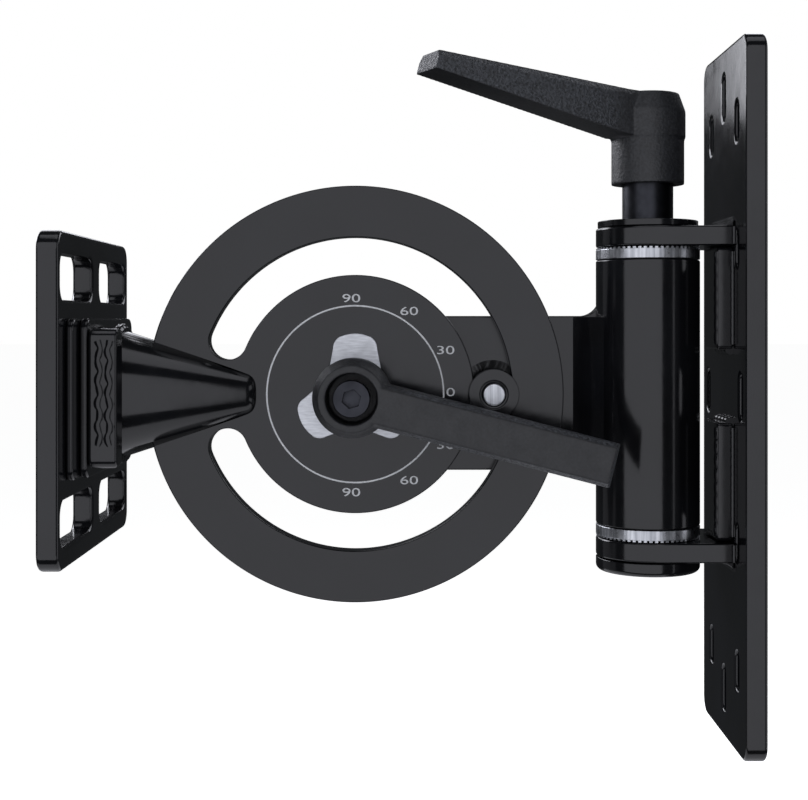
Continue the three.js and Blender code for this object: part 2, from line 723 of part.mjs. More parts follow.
const mount = new THREE.Group();

const upperWebTop = upperLugBottom - GAP;
const lowerWebBottom = lowerLugTop + GAP;
const wallBracket = new THREE.Group();
wallBracket.add(
  named("wall_plate", wallPlate(), "powderCoat"),
  named("yoke_upper_web", web(upperWebTop - UPPER_WEB_LENGTH, upperWebTop), "powderCoat"),
  named("yoke_lower_web", web(lowerWebBottom, lowerWebBottom + LOWER_WEB_LENGTH), "powderCoat"),
);

const collarProfile = ringProfile(studBore, COLLAR_RADIUS, collarBottom, collarTop);
const swivelAxis = new THREE.Group();
swivelAxis.position.y = -SWIVEL_STANDOFF;
swivelAxis.add(
  named("yoke_upper_lug", lug(upperLugBottom, upperLugTop), "powderCoat"),
  named("yoke_lower_lug", lug(lowerLugBottom, lowerLugTop), "powderCoat"),
  named("upper_serrated_ring", serratedRing(upperRingBottom, upperRingTop), "brightSteel"),
  named("lower_serrated_ring", serratedRing(lowerRingBottom, lowerRingTop), "brightSteel"),
  named("king_bolt", kingBolt(), "blackSteel"),
  named("top_collar", turnedAboutZ(collarProfile), "powderCoat"),
  named("bottom_cap", bottomCap(), "powderCoat"),
);

const swivelLever = clampingLever("swivel_lever", STEM_LENGTH);
swivelLever.position.z = swivelHubBottom;
swivelLever.rotation.z = radians(SWIVEL_LEVER_TURN_DEGREES);
swivelAxis.add(swivelLever);

const swivelArm = new THREE.Group();
const bushRadius = TUBE_BORE_RADIUS - GAP;
const upperBushProfile = ringProfile(studBore, bushRadius, tubeTop - GAP - BUSH_LENGTH, tubeTop - GAP);
const lowerBushProfile = ringProfile(studBore, bushRadius, tubeBottom + GAP, tubeBottom + GAP + BUSH_LENGTH);
const washerBack = armFront - GUIDE_WASHER_THICKNESS;
const washerProfile = ringProfile(pinBore, GUIDE_WASHER_RADIUS, washerBack, armFront);
const nut = named("guide_nut", guideNut(), "blackSteel");
nut.position.y = guideY;
const tiltBoltMesh = named("tilt_bolt", tiltBolt(), "blackSteel");
tiltBoltMesh.position.y = -PIVOT_REACH;
const tubeProfile = ringProfile(TUBE_BORE_RADIUS, TUBE_RADIUS, tubeBottom, tubeTop);
swivelArm.add(
  named("pivot_tube", turnedAboutZ(tubeProfile), "powderCoat"),
  named("upper_bush", turnedAboutZ(upperBushProfile, SMALL_ROUND_STEPS), "bronze"),
  named("lower_bush", turnedAboutZ(lowerBushProfile, SMALL_ROUND_STEPS), "bronze"),
  named("arm_plate", armPlate(), "powderCoat"),
  named("guide_washer", turnedAboutX(washerProfile, MIDDLE_ROUND_STEPS, guideY), "blackSteel"),
  named("guide_boss", guideBoss(), "powderCoat"),
  named("guide_pin", guidePin(), "brightSteel"),
  nut,
  tiltBoltMesh,
);
swivelAxis.add(swivelArm);

const tiltAxis = new THREE.Group();
tiltAxis.position.y = -SWIVEL_STANDOFF - PIVOT_REACH;
const discBushProfile = ringProfile(studBore, DISC_BORE_RADIUS - GAP, 0, DISC_THICKNESS);
tiltAxis.add(
  named("tilt_disc", tiltDisc(), "powderCoat"),
  named("disc_bush", turnedAboutX(discBushProfile, SMALL_ROUND_STEPS), "bronze"),
  named("lobe_plate", lobePlate(), "brightSteel"),
  named("cone", cone(), "powderCoat"),
  named("cone_base", coneBase(), "powderCoat"),
  named("side_block", sideBlock(), "powderCoat"),
  named("spacer_plate", layer(SPACER_HALF_WIDTH, spacerFront, spacerBack), "powderCoat"),
  named("adapter_plate", layer(ADAPTER_HALF_WIDTH, adapterFront, adapterBack), "powderCoat"),
  named("screen_plate", screenPlate(), "powderCoat"),
);

const tiltLever = clampingLever("tilt_lever", GAP);
tiltLever.position.x = tiltHubBottom;
tiltLever.rotation.set(Math.PI - radians(TILT_LEVER_DROOP_DEGREES), quarterTurn, 0);
tiltAxis.add(tiltLever);

mount.add(wallBracket, swivelAxis, tiltAxis);

export default mount;
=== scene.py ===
import math

import bmesh
import bpy
from mathutils import Matrix, Vector


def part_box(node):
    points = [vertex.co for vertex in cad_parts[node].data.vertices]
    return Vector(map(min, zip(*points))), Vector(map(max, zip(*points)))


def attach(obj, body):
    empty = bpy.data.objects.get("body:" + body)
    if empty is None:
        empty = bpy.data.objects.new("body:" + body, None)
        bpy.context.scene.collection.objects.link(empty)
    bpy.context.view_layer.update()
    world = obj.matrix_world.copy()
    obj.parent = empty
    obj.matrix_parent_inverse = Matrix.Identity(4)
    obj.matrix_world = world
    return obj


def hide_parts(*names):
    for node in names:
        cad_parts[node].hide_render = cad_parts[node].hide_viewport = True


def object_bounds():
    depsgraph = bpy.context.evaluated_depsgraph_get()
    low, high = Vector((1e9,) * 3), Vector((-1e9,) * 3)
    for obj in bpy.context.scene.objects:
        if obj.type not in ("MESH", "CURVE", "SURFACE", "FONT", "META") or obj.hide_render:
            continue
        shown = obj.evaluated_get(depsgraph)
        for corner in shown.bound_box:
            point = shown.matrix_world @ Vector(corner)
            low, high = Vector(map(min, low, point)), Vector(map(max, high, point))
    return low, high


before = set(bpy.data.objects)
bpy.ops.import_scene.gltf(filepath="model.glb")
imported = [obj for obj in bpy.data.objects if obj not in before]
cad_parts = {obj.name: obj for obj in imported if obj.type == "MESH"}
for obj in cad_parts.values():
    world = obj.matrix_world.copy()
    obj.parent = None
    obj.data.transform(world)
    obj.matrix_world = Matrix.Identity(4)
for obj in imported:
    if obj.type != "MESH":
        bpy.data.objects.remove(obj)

cad_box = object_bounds()


# ---- Wall plate ----
# The plate that is screwed to the wall: 8 mm steel, laser cut with upright slots for the screws.
# Its rim is rounded over before the whole bracket is powder coated gloss black.

MM = 0.001  # every mesh is made in millimetres, and this brings it to metres
WALL_PLATE_CORNER = 7
WALL_SLOT_WIDTH = 6.8
WALL_PLATE_RIM = 1.3
END_SLOT = {"from_end": 9.5, "length": 18.5, "from_side": None}
OUTER_SLOT = {"from_end": 23, "length": 15.5, "from_side": 15.5}
INNER_SLOT = {"from_end": 71.2, "length": 14.8, "from_side": 15.5}
MIDDLE_SLOT = {"length": 18, "from_side": 9.5}

ACROSS_X = Matrix(((0, 0, 1, 0), (1, 0, 0, 0), (0, 1, 0, 0), (0, 0, 0, 1)))
ACROSS_Y = Matrix(((1, 0, 0, 0), (0, 0, -1, 0), (0, 1, 0, 0), (0, 0, 0, 1)))
ACROSS_Z = Matrix.Identity(4)


def node_box(name):
    low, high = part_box(name)
    return low / MM, high / MM


def to_linear(hex_colour):
    shares = [int(hex_colour[start:start + 2], 16) / 255 for start in (1, 3, 5)]
    return [s / 12.92 if s <= 0.04045 else ((s + 0.055) / 1.055) ** 2.4 for s in shares] + [1.0]


def add(tree, kind, links=(), **settings):
    """Adds a node: links feed its inputs from sockets or with values, and settings are its properties."""
    node = tree.nodes.new(kind)
    for name, value in settings.items():
        setattr(node, name, value)
    for name, value in dict(links).items():
        if isinstance(value, bpy.types.NodeSocket):
            tree.links.new(value, node.inputs[name])
        else:
            node.inputs[name].default_value = value
    return node


def new_material(name):
    material = bpy.data.materials.new(name)
    material.use_nodes = True
    tree = material.node_tree
    tree.nodes.clear()
    place = add(tree, "ShaderNodeTexCoord").outputs["Object"]
    return material, tree, place


def noise(tree, place, size, detail=2.0):
    """Noise whose blotches are about size millimetres across."""
    links = {"Vector": place, "Scale": 1 / (size * MM), "Detail": detail}
    return add(tree, "ShaderNodeTexNoise", links).outputs["Fac"]


def spread(tree, value, low, high):
    """Turns a noise value into one between low and high."""
    links = {"Value": value, "From Min": 0.3, "From Max": 0.7, "To Min": low, "To Max": high}
    return add(tree, "ShaderNodeMapRange", links).outputs["Result"]


def blend_colours(tree, share, first, second):
    mix = add(tree, "ShaderNodeMix", data_type="RGBA")
    tree.links.new(share, mix.inputs[0])
    mix.inputs[6].default_value = to_linear(first)
    mix.inputs[7].default_value = to_linear(second)
    return mix.outputs[2]


def surface(tree, links):
    shader = add(tree, "ShaderNodeBsdfPrincipled", links)
    add(tree, "ShaderNodeOutputMaterial", {"Surface": shader.outputs["BSDF"]})


# Gloss black polyester powder over steel: a wet-looking film with a faint orange peel.
powder_coat, tree, place = new_material("powder_coated_steel")
peel = add(tree, "ShaderNodeBump", {
    "Height": noise(tree, place, 2.4), "Strength": 0.16, "Distance": 0.05 * MM})
flow = add(tree, "ShaderNodeBump", {
    "Height": noise(tree, place, 16, 1.0), "Strength": 0.12, "Distance": 0.4 * MM,
    "Normal": peel.outputs["Normal"]})
surface(tree, {
    "Base Color": blend_colours(tree, spread(tree, noise(tree, place, 30), 0, 1), "#0d0d0f", "#141518"),
    "Roughness": spread(tree, noise(tree, place, 7), 0.11, 0.17),
    "Normal": flow.outputs["Normal"],
    "IOR": 1.52})


def arc(centre, radius, start, end, step=0.9):
    """Points along an arc from start to end, in degrees, about step millimetres apart."""
    turn = math.radians(end - start)
    count = max(5, round(abs(turn) * radius / step))
    points = []
    for i in range(count + 1):
        angle = math.radians(start) + turn * i / count
        points.append((centre[0] + radius * math.cos(angle), centre[1] + radius * math.sin(angle)))
    return points


def full_circle(centre, radius, step=0.9):
    return arc(centre, radius, 0, 360, step)[:-1]


def rounded_rectangle(left, right, bottom, top, corner):
    return (arc((right - corner, top - corner), corner, 0, 90)
            + arc((left + corner, top - corner), corner, 90, 180)
            + arc((left + corner, bottom + corner), corner, 180, 270)
            + arc((right - corner, bottom + corner), corner, 270, 360))


def upright_slot(x, bottom, top, width):
    radius = width / 2
    return arc((x, top - radius), radius, 0, 180) + arc((x, bottom + radius), radius, 180, 360)


def placed(name, data):
    """A new object in the scene, holding some data."""
    holder = bpy.data.objects.new(name, data)
    bpy.context.scene.collection.objects.link(holder)
    return holder


def made(holder):
    """The mesh of an object as its modifiers leave it. The object itself is taken away."""
    mesh = bpy.data.meshes.new_from_object(holder.evaluated_get(bpy.context.evaluated_depsgraph_get()))
    bpy.data.objects.remove(holder)
    return mesh


def even_shading(mesh):
    """Smooth shading that keeps flat faces flat beside their rounded rims."""
    mesh.shade_smooth()
    mesh.set_sharp_from_angle(angle=math.radians(50))
    holder = placed("shading", mesh)
    weighting = holder.modifiers.new("weighting", "WEIGHTED_NORMAL")
    weighting.keep_sharp = True
    weighting.weight = 100
    return made(holder)


def clean(mesh, merge=1e-4):
    shape = bmesh.new()
    shape.from_mesh(mesh)
    bmesh.ops.remove_doubles(shape, verts=shape.verts, dist=merge)
    bmesh.ops.recalc_face_normals(shape, faces=shape.faces)
    shape.to_mesh(mesh)
    shape.free()
    return mesh


def sheet_metal(outline, holes, low, high, rim, axes):
    """A flat piece from low to high along its third axis, with its rims rounded by rim."""
    curve = bpy.data.curves.new("outline", "CURVE")
    curve.dimensions = "2D"
    curve.fill_mode = "BOTH"
    curve.extrude = (high - low) / 2 - rim
    curve.bevel_depth = rim
    curve.offset = -rim
    curve.bevel_resolution = 3
    for points in [outline] + [hole[::-1] for hole in holes]:
        spline = curve.splines.new("POLY")
        spline.points.add(len(points) - 1)
        for point, (across, up) in zip(spline.points, points):
            point.co = (across, up, 0, 1)
        spline.use_cyclic_u = True
    mesh = made(placed("outline", curve))
    middle = -(low + high) / 2 if axes is ACROSS_Y else (low + high) / 2
    mesh.transform(axes @ Matrix.Translation((0, 0, middle)))
    return even_shading(clean(mesh))


def joined(*meshes):
    shape = bmesh.new()
    for mesh in meshes:
        shape.from_mesh(mesh)
    whole = bpy.data.meshes.new("joined")
    shape.to_mesh(whole)
    shape.free()
    return whole


def finish_piece(name, mesh, material, body, slot, *nodes):
    """Puts a mesh made in millimetres into the scene, in place of its CAD nodes."""
    mesh.transform(Matrix.Scale(MM, 4))
    mesh.name = name
    mesh.materials.clear()
    mesh.materials.append(material)
    piece = placed(name, mesh)
    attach(piece, body)
    if nodes:
        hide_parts(*nodes)
    return piece


low, high = node_box("wall_plate")
wall_front = low.y
half_width = high.x
half_height = high.z
wall_slots = []
for slot in (END_SLOT, OUTER_SLOT, INNER_SLOT):
    far = half_height - slot["from_end"]
    near = far - slot["length"]
    column = 0 if slot["from_side"] is None else half_width - slot["from_side"]
    for x in sorted({-column, column}):
        wall_slots.append(upright_slot(x, near, far, WALL_SLOT_WIDTH))
        wall_slots.append(upright_slot(x, -far, -near, WALL_SLOT_WIDTH))
for side in (-1, 1):
    column = side * (half_width - MIDDLE_SLOT["from_side"])
    half = MIDDLE_SLOT["length"] / 2
    wall_slots.append(upright_slot(column, -half, half, WALL_SLOT_WIDTH))
outline = rounded_rectangle(-half_width, half_width, -half_height, half_height, WALL_PLATE_CORNER)
plate = sheet_metal(outline, wall_slots, wall_front, 0, WALL_PLATE_RIM, ACROSS_Y)
finish_piece("wall_plate_coated", plate, powder_coat, "wall_bracket", "powder_coated_steel", "wall_plate")


# ---- Yoke: two webs and two lugs ----
# Bars and round-ended lugs of flat steel, welded to the wall plate to hold the swivel tube between them.
# The welds are run by hand along each side, so the coat lies over their ripples.

WEB_RIM = 0.9
LUG_RIM = 1.0
STUD_HOLE_RADIUS = 6.3  # a loose fit round the 12 mm studs of both clamps
FILLET_REACH = 3.6  # how far the weld fillet climbs from each lug's root along the wall plate
FILLET_DEPTH = 6.2  # how far it runs out along the lug
BEAD_RADIUS = 1.1
RIPPLE_SPACING = 3.4
HEAVY_BEAD = (1.9, 5.2)  # radius and ripple spacing, like the other beads named so

for part in ("upper", "lower"):
    low, high = node_box(f"yoke_{part}_web")
    outline = rounded_rectangle(low.x, high.x, low.z, high.z, 2)
    web = sheet_metal(outline, [], low.y, high.y + 0.2, WEB_RIM, ACROSS_Y)
    finish_piece(f"yoke_{part}_web_coated", web, powder_coat, "wall_bracket", "powder_coated_steel",
                 f"yoke_{part}_web")

low, high = node_box("pivot_tube")
tube_radius = (high.x - low.x) / 2
swivel_y = (low.y + high.y) / 2
tube_low, tube_high = low.z, high.z

for part, way in (("upper", 1), ("lower", -1)):
    low, high = node_box(f"yoke_{part}_lug")
    outline = arc((0, swivel_y), tube_radius, 180, 360) + [(tube_radius, high.y), (-tube_radius, high.y)]
    lug_hole = full_circle((0, swivel_y), STUD_HOLE_RADIUS)
    lug = sheet_metal(outline, [lug_hole], low.z, high.z, LUG_RIM, ACROSS_Z)
    root = high.z if way > 0 else low.z
    fillet = [(wall_front, root - 2 * way), (wall_front, root + way * FILLET_REACH)]
    for across, up in arc((0, 0), 1, 0, -90 * way):
        fillet.append((wall_front - FILLET_DEPTH * (1 - across) - 0.01, root + (way + up) * FILLET_REACH))
    fillet.append((wall_front - FILLET_DEPTH, root - 2 * way))
    gusset = sheet_metal(fillet[::-way], [], -tube_radius + 1.5, tube_radius - 1.5, 0.5, ACROSS_X)
    finish_piece(f"yoke_{part}_lug_coated", joined(lug, gusset), powder_coat, "wall_bracket",
                 "powder_coated_steel", f"yoke_{part}_lug")


def weld_bead_tree():
    """A bead along a path: a round wire whose thickness swells once for each dip of the torch."""
    group = bpy.data.node_groups.new("weld bead", "GeometryNodeTree")
    sockets = {}
    for name, kind in (("Path", "NodeSocketGeometry"), ("Bead Radius", "NodeSocketFloat"),
                       ("Ripple Spacing", "NodeSocketFloat"), ("Material", "NodeSocketMaterial")):
        sockets[name] = group.interface.new_socket(name, in_out="INPUT", socket_type=kind).identifier
    group.interface.new_socket("Bead", in_out="OUTPUT", socket_type="NodeSocketGeometry")
    given = add(group, "NodeGroupInput").outputs
    step = add(group, "ShaderNodeMath", {0: given["Ripple Spacing"], 1: 8.0}, operation="DIVIDE")
    fine = add(group, "GeometryNodeResampleCurve", {
        "Curve": given["Path"], "Length": step.outputs[0]}, mode="LENGTH")
    along = add(group, "GeometryNodeSplineParameter").outputs["Length"]
    turns = add(group, "ShaderNodeMath", {0: along, 1: given["Ripple Spacing"]}, operation="DIVIDE")
    phase = add(group, "ShaderNodeMath", {0: turns.outputs[0], 1: math.pi}, operation="MULTIPLY")
    wave = add(group, "ShaderNodeMath", {0: phase.outputs[0]}, operation="SINE")
    swell = add(group, "ShaderNodeMath", {0: wave.outputs[0]}, operation="ABSOLUTE")
    share = add(group, "ShaderNodeMapRange", {"Value": swell.outputs[0], "To Min": 0.86, "To Max": 1.0})
    section = add(group, "GeometryNodeCurvePrimitiveCircle", {
        "Resolution": 14, "Radius": given["Bead Radius"]})
    bead = add(group, "GeometryNodeCurveToMesh", {
        "Curve": fine.outputs["Curve"], "Profile Curve": section.outputs["Curve"],
        "Scale": share.outputs["Result"], "Fill Caps": True})
    smooth = add(group, "GeometryNodeSetShadeSmooth", {0: bead.outputs["Mesh"]})
    real = add(group, "GeometryNodeRealizeInstances", {0: smooth.outputs[0]})
    coated = add(group, "GeometryNodeSetMaterial", {0: real.outputs[0], "Material": given["Material"]})
    add(group, "NodeGroupOutput", {"Bead": coated.outputs[0]})
    return group, sockets


bead_tree, bead_inputs = weld_bead_tree()


def weld_bead(paths, radius=BEAD_RADIUS, spacing=RIPPLE_SPACING, cyclic=False):
    """The mesh of the beads along some paths of points, in millimetres."""
    curve = bpy.data.curves.new("weld path", "CURVE")
    curve.dimensions = "3D"
    for points in paths:
        spline = curve.splines.new("POLY")
        spline.points.add(len(points) - 1)
        for point, place in zip(spline.points, points):
            point.co = (*place, 1)
        spline.use_cyclic_u = cyclic
    holder = placed("weld path", curve)
    modifier = holder.modifiers.new("weld bead", "NODES")
    modifier.node_group = bead_tree
    modifier[bead_inputs["Bead Radius"]] = float(radius)
    modifier[bead_inputs["Ripple Spacing"]] = float(spacing)
    modifier[bead_inputs["Material"]] = powder_coat
    return clean(made(holder))


yoke_paths = []
heavy_paths = []
for part in ("upper", "lower"):
    low, high = node_box(f"yoke_{part}_web")
    for side in (low.x - 0.2, high.x + 0.2):
        yoke_paths.append([(side, wall_front - 0.4, low.z + 2), (side, wall_front - 0.4, high.z - 2)])
    heavy_paths.append([(high.x - 2.2, low.y + 0.8, low.z + 2), (high.x - 2.2, low.y + 0.8, high.z - 2)])
    inner_end = low.z if part == "upper" else high.z
    heavy_paths.append([(low.x + 1, wall_front - 1, inner_end), (high.x - 1, wall_front - 1, inner_end)])
    lug_low, lug_high = node_box(f"yoke_{part}_lug")
    for side in (lug_low.x, lug_high.x):
        yoke_paths.append([
            (side, wall_front - 0.4, lug_low.z + 0.5), (side, wall_front - 0.4, lug_high.z - 0.5)])
yoke_welds = joined(weld_bead(yoke_paths), weld_bead(heavy_paths, *HEAVY_BEAD))
finish_piece("yoke_welds", yoke_welds, powder_coat, "wall_bracket", "powder_coated_steel")


# ---- Serrated rings ----
# Zinc-plated rings between the tube and the lugs. Fine teeth on their faces bite when the clamp is tight,
# and the turned rim keeps short upright tool marks.

TUBE_BORE_RADIUS = 15
RING_TEETH = 60
RING_TOOTH = (4.4, 1.15, 0.55)  # radial length, width and height
RING_RIM = 0.3
RIM_MARKS = 150
RIM_MARK_DEPTH = 0.12

# Bright zinc plate: pale, slightly blue metal, streaked from top to bottom by the cutting tool.
zinc_plate, tree, place = new_material("zinc_plated_steel")
streaks = add(tree, "ShaderNodeMapping", {"Vector": place, "Scale": (1, 1, 0.05)})
marks = noise(tree, streaks.outputs["Vector"], 1.3, 3.0)
brushed = add(tree, "ShaderNodeBump", {"Height": marks, "Strength": 0.35, "Distance": 0.12 * MM})
surface(tree, {
    "Base Color": blend_colours(tree, spread(tree, marks, 0, 1), "#9a9da2", "#d9dbdf"),
    "Metallic": 1.0,
    "Roughness": spread(tree, noise(tree, place, 3), 0.26, 0.38),
    "Normal": brushed.outputs["Normal"]})


def ring_teeth_tree():
    """Teeth set radially round a circle."""
    group = bpy.data.node_groups.new("ring teeth", "GeometryNodeTree")
    sockets = {}
    for name, kind in (("Ring", "NodeSocketGeometry"), ("Teeth", "NodeSocketInt"),
                       ("Radius", "NodeSocketFloat"), ("Tooth Size", "NodeSocketVector"),
                       ("Height", "NodeSocketFloat"), ("Material", "NodeSocketMaterial")):
        sockets[name] = group.interface.new_socket(name, in_out="INPUT", socket_type=kind).identifier
    group.interface.new_socket("Toothed Ring", in_out="OUTPUT", socket_type="NodeSocketGeometry")
    given = add(group, "NodeGroupInput").outputs
    circle = add(group, "GeometryNodeMeshCircle", {"Vertices": given["Teeth"], "Radius": given["Radius"]})
    tooth = add(group, "GeometryNodeMeshCube", {"Size": given["Tooth Size"]})
    number = add(group, "GeometryNodeInputIndex").outputs[0]
    share = add(group, "ShaderNodeMath", {0: number, 1: given["Teeth"]}, operation="DIVIDE")
    angle = add(group, "ShaderNodeMath", {0: share.outputs[0], 1: math.tau}, operation="MULTIPLY")
    turn = add(group, "ShaderNodeCombineXYZ", {"Z": angle.outputs[0]})
    teeth = add(group, "GeometryNodeInstanceOnPoints", {
        "Points": circle.outputs["Mesh"], "Instance": tooth.outputs["Mesh"], "Rotation": turn.outputs[0]})
    lift = add(group, "ShaderNodeCombineXYZ", {"Z": given["Height"]})
    lifted = add(group, "GeometryNodeTransform", {0: teeth.outputs[0], "Translation": lift.outputs[0]})
    both = add(group, "GeometryNodeJoinGeometry")
    group.links.new(given["Ring"], both.inputs[0])
    group.links.new(lifted.outputs[0], both.inputs[0])
    real = add(group, "GeometryNodeRealizeInstances", {0: both.outputs[0]})
    plated = add(group, "GeometryNodeSetMaterial", {0: real.outputs[0], "Material": given["Material"]})
    add(group, "NodeGroupOutput", {"Toothed Ring": plated.outputs[0]})
    return group, sockets


teeth_tree, teeth_inputs = ring_teeth_tree()
for part, way in (("upper", 1), ("lower", -1)):
    low, high = node_box(f"{part}_serrated_ring")
    rim = []
    for mark in range(RIM_MARKS):
        angle = math.tau * mark / RIM_MARKS
        reach = high.x - RIM_MARK_DEPTH * (mark % 2)
        rim.append((reach * math.cos(angle), reach * math.sin(angle)))
    tooth_height = RING_TOOTH[2]
    ring_low = low.z + (tooth_height if way < 0 else 0)
    ring_high = high.z - (tooth_height if way > 0 else 0)
    ring = sheet_metal(rim, [full_circle((0, 0), TUBE_BORE_RADIUS)], ring_low, ring_high, RING_RIM, ACROSS_Z)
    holder = placed("ring", ring)
    modifier = holder.modifiers.new("ring teeth", "NODES")
    modifier.node_group = teeth_tree
    modifier[teeth_inputs["Teeth"]] = RING_TEETH
    modifier[teeth_inputs["Radius"]] = high.x - RING_TOOTH[0] / 2 - RIM_MARK_DEPTH
    modifier[teeth_inputs["Tooth Size"]] = (RING_TOOTH[0], RING_TOOTH[1], 2 * tooth_height)
    modifier[teeth_inputs["Height"]] = ring_high if way > 0 else ring_low
    modifier[teeth_inputs["Material"]] = zinc_plate
    toothed = made(holder)
    toothed.transform(Matrix.Translation((0, swivel_y, 0)))
    finish_piece(f"{part}_serrated_ring_plated", toothed, zinc_plate, "wall_bracket", "bright_steel",
                 f"{part}_serrated_ring")


# ---- King bolt, top collar and bottom cap ----
# The bolt draws the lugs together through the tube. Its head sits in a turned cap with a rounded rim,
# and a thin coated collar covers the top lug under the clamping lever.

COLLAR_RIM = 0.35
CAP_RIM = 2.2
CAP_RECESS_RADIUS = 12.3
CAP_RECESS_DEPTH = 2.9
CAP_EDGE = 0.4


def soften(points, radius, steps=4):
    """Rounds the inner corners of a profile, each by radius or as much as its sides allow."""
    rounded = [points[0]]
    for before, corner, after in zip(points, points[1:], points[2:]):
        here = Vector(corner)
        back = Vector(before) - here
        on = Vector(after) - here
        reach = min(radius, back.length * 0.49, on.length * 0.49)
        start = here + back.normalized() * reach
        end = here + on.normalized() * reach
        for i in range(steps + 1):
            t = i / steps
            point = start * (1 - t) ** 2 + here * 2 * t * (1 - t) + end * t ** 2
            rounded.append((point.x, point.y))
    rounded.append(points[-1])
    return rounded


def turned(profile, axes=ACROSS_Z, centre=(0, 0, 0), steps=128):
    """Turns a profile of (radius, place along the axis) points into a closed shape."""
    shape = bmesh.new()
    closed = profile[0] == profile[-1]
    points = profile[:-1] if closed else profile
    rings = []
    for step in range(steps):
        angle = math.tau * step / steps
        rings.append([shape.verts.new((r * math.cos(angle), r * math.sin(angle), z)) for r, z in points])
    for ring, following in zip(rings, rings[1:] + rings[:1]):
        for i in range(len(points) if closed else len(points) - 1):
            j = (i + 1) % len(points)
            shape.faces.new((ring[i], ring[j], following[j], following[i]))
    mesh = bpy.data.meshes.new("turned")
    shape.to_mesh(mesh)
    shape.free()
    mesh.transform(Matrix.Translation(centre) @ axes)
    return even_shading(clean(mesh, 1e-3))


def rod(radius, low, high, rim):
    return soften([(0, low), (radius, low), (radius, high), (0, high)], rim)


def tube_profile(bore, radius, low, high, rim):
    middle = (low + high) / 2
    corners = [(radius, middle), (radius, high), (bore, high), (bore, low), (radius, low), (radius, middle)]
    return soften(corners, rim)


# Black oxide on machined steel: thin, a little metallic, with faint turning marks.
black_oxide, tree, place = new_material("black_oxide_steel")
turning = noise(tree, place, 1.6, 3.0)
worked = add(tree, "ShaderNodeBump", {"Height": turning, "Strength": 0.2, "Distance": 0.04 * MM})
surface(tree, {
    "Base Color": blend_colours(tree, spread(tree, noise(tree, place, 9), 0, 1), "#2f3034", "#3d3e43"),
    "Metallic": 1.0,
    "Roughness": spread(tree, turning, 0.3, 0.42),
    "Normal": worked.outputs["Normal"]})


def recoat(node, material):
    """Gives its finish to a CAD node that stays in the model as it is."""
    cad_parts[node].data.materials.clear()
    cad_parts[node].data.materials.append(material)


recoat("king_bolt", black_oxide)

low, high = node_box("top_collar")
collar = turned(tube_profile(STUD_HOLE_RADIUS, high.x, low.z, high.z, COLLAR_RIM), centre=(0, swivel_y, 0))
finish_piece("top_collar_coated", collar, powder_coat, "wall_bracket", "powder_coated_steel", "top_collar")

low, high = node_box("bottom_cap")
rim_arc = arc((high.x - CAP_RIM, low.z + CAP_RIM), CAP_RIM, -90, 0, 0.4)
cap_profile = [(0, low.z)] + rim_arc + [
    (high.x, high.z - CAP_EDGE), (high.x - CAP_EDGE, high.z), (CAP_RECESS_RADIUS, high.z),
    (CAP_RECESS_RADIUS, high.z - CAP_RECESS_DEPTH), (0, high.z - CAP_RECESS_DEPTH)]
finish_piece("bottom_cap_coated", turned(cap_profile, centre=(0, swivel_y, 0)), powder_coat, "wall_bracket",
             "powder_coated_steel", "bottom_cap")


# ---- Pivot tube and its bushes ----
# A thick steel tube, 40 mm across, that swings about the king bolt on two sintered bronze bushes.
# The arm plate is welded into its side before the coat goes on.

TUBE_RIM = 0.8

# Sintered bronze: warm, dull and finely pored, because it holds oil.
bronze, tree, place = new_material("sintered_bronze")
pores = noise(tree, place, 0.7, 4.0)
pitted = add(tree, "ShaderNodeBump", {"Height": pores, "Strength": 0.4, "Distance": 0.1 * MM})
surface(tree, {
    "Base Color": blend_colours(tree, spread(tree, pores, 0, 1), "#6d4f2a", "#a47c48"),
    "Metallic": 1.0,
    "Roughness": spread(tree, pores, 0.42, 0.55),
    "Normal": pitted.outputs["Normal"]})

tube_sides = tube_profile(TUBE_BORE_RADIUS, tube_radius, tube_low, tube_high, TUBE_RIM)
tube = turned(tube_sides, centre=(0, swivel_y, 0), steps=160)
finish_piece("pivot_tube_coated", tube, powder_coat, "swivel_arm", "powder_coated_steel", "pivot_tube")
for bush in ("upper_bush", "lower_bush", "disc_bush"):
    recoat(bush, bronze)


# ---- Arm plate ----
# An 8 mm plate with a round end about the tilt axis. It flares in two coves where it meets the tube,
# and a smooth filled weld runs down its dial side with a plain rippled bead behind.

ARM_RIM = 0.7
ARM_COVE = 8
ARM_END_OFFSET = 4  # the plate's end meets the tube this far from the tube's middle plane
ARM_FILLET = 9  # how far the filled weld reaches out along the plate
FILLET_RISE = 8.5
BACK_BEAD = (2.4, 4.2)

low, high = node_box("tilt_disc")
disc_radius = (high.y - low.y) / 2
tilt_y = (low.y + high.y) / 2
disc_face = high.x
low, high = node_box("arm_plate")
arm_back, arm_front = low.x, high.x
arm_half_height = tilt_y - low.y
cove_start = swivel_y - tube_radius + 2 - ARM_COVE
cove_height = arm_half_height + ARM_COVE
tube_side = swivel_y - math.sqrt(tube_radius ** 2 - ARM_END_OFFSET ** 2) - 0.3
outline = (arc((tilt_y, 0), arm_half_height, 90, 270)
           + arc((cove_start, -cove_height), ARM_COVE, 90, 0)
           + [(tube_side + 1.9, -cove_height), (tube_side + 1.9, cove_height)]
           + arc((cove_start, cove_height), ARM_COVE, 0, -90))
stud_hole = full_circle((tilt_y, 0), STUD_HOLE_RADIUS)
arm_shape = sheet_metal(outline, [stud_hole], arm_back, arm_front, ARM_RIM, ACROSS_X)
fillet_x = arm_front + FILLET_RISE
fillet_y = swivel_y - math.sqrt(tube_radius ** 2 - fillet_x ** 2)
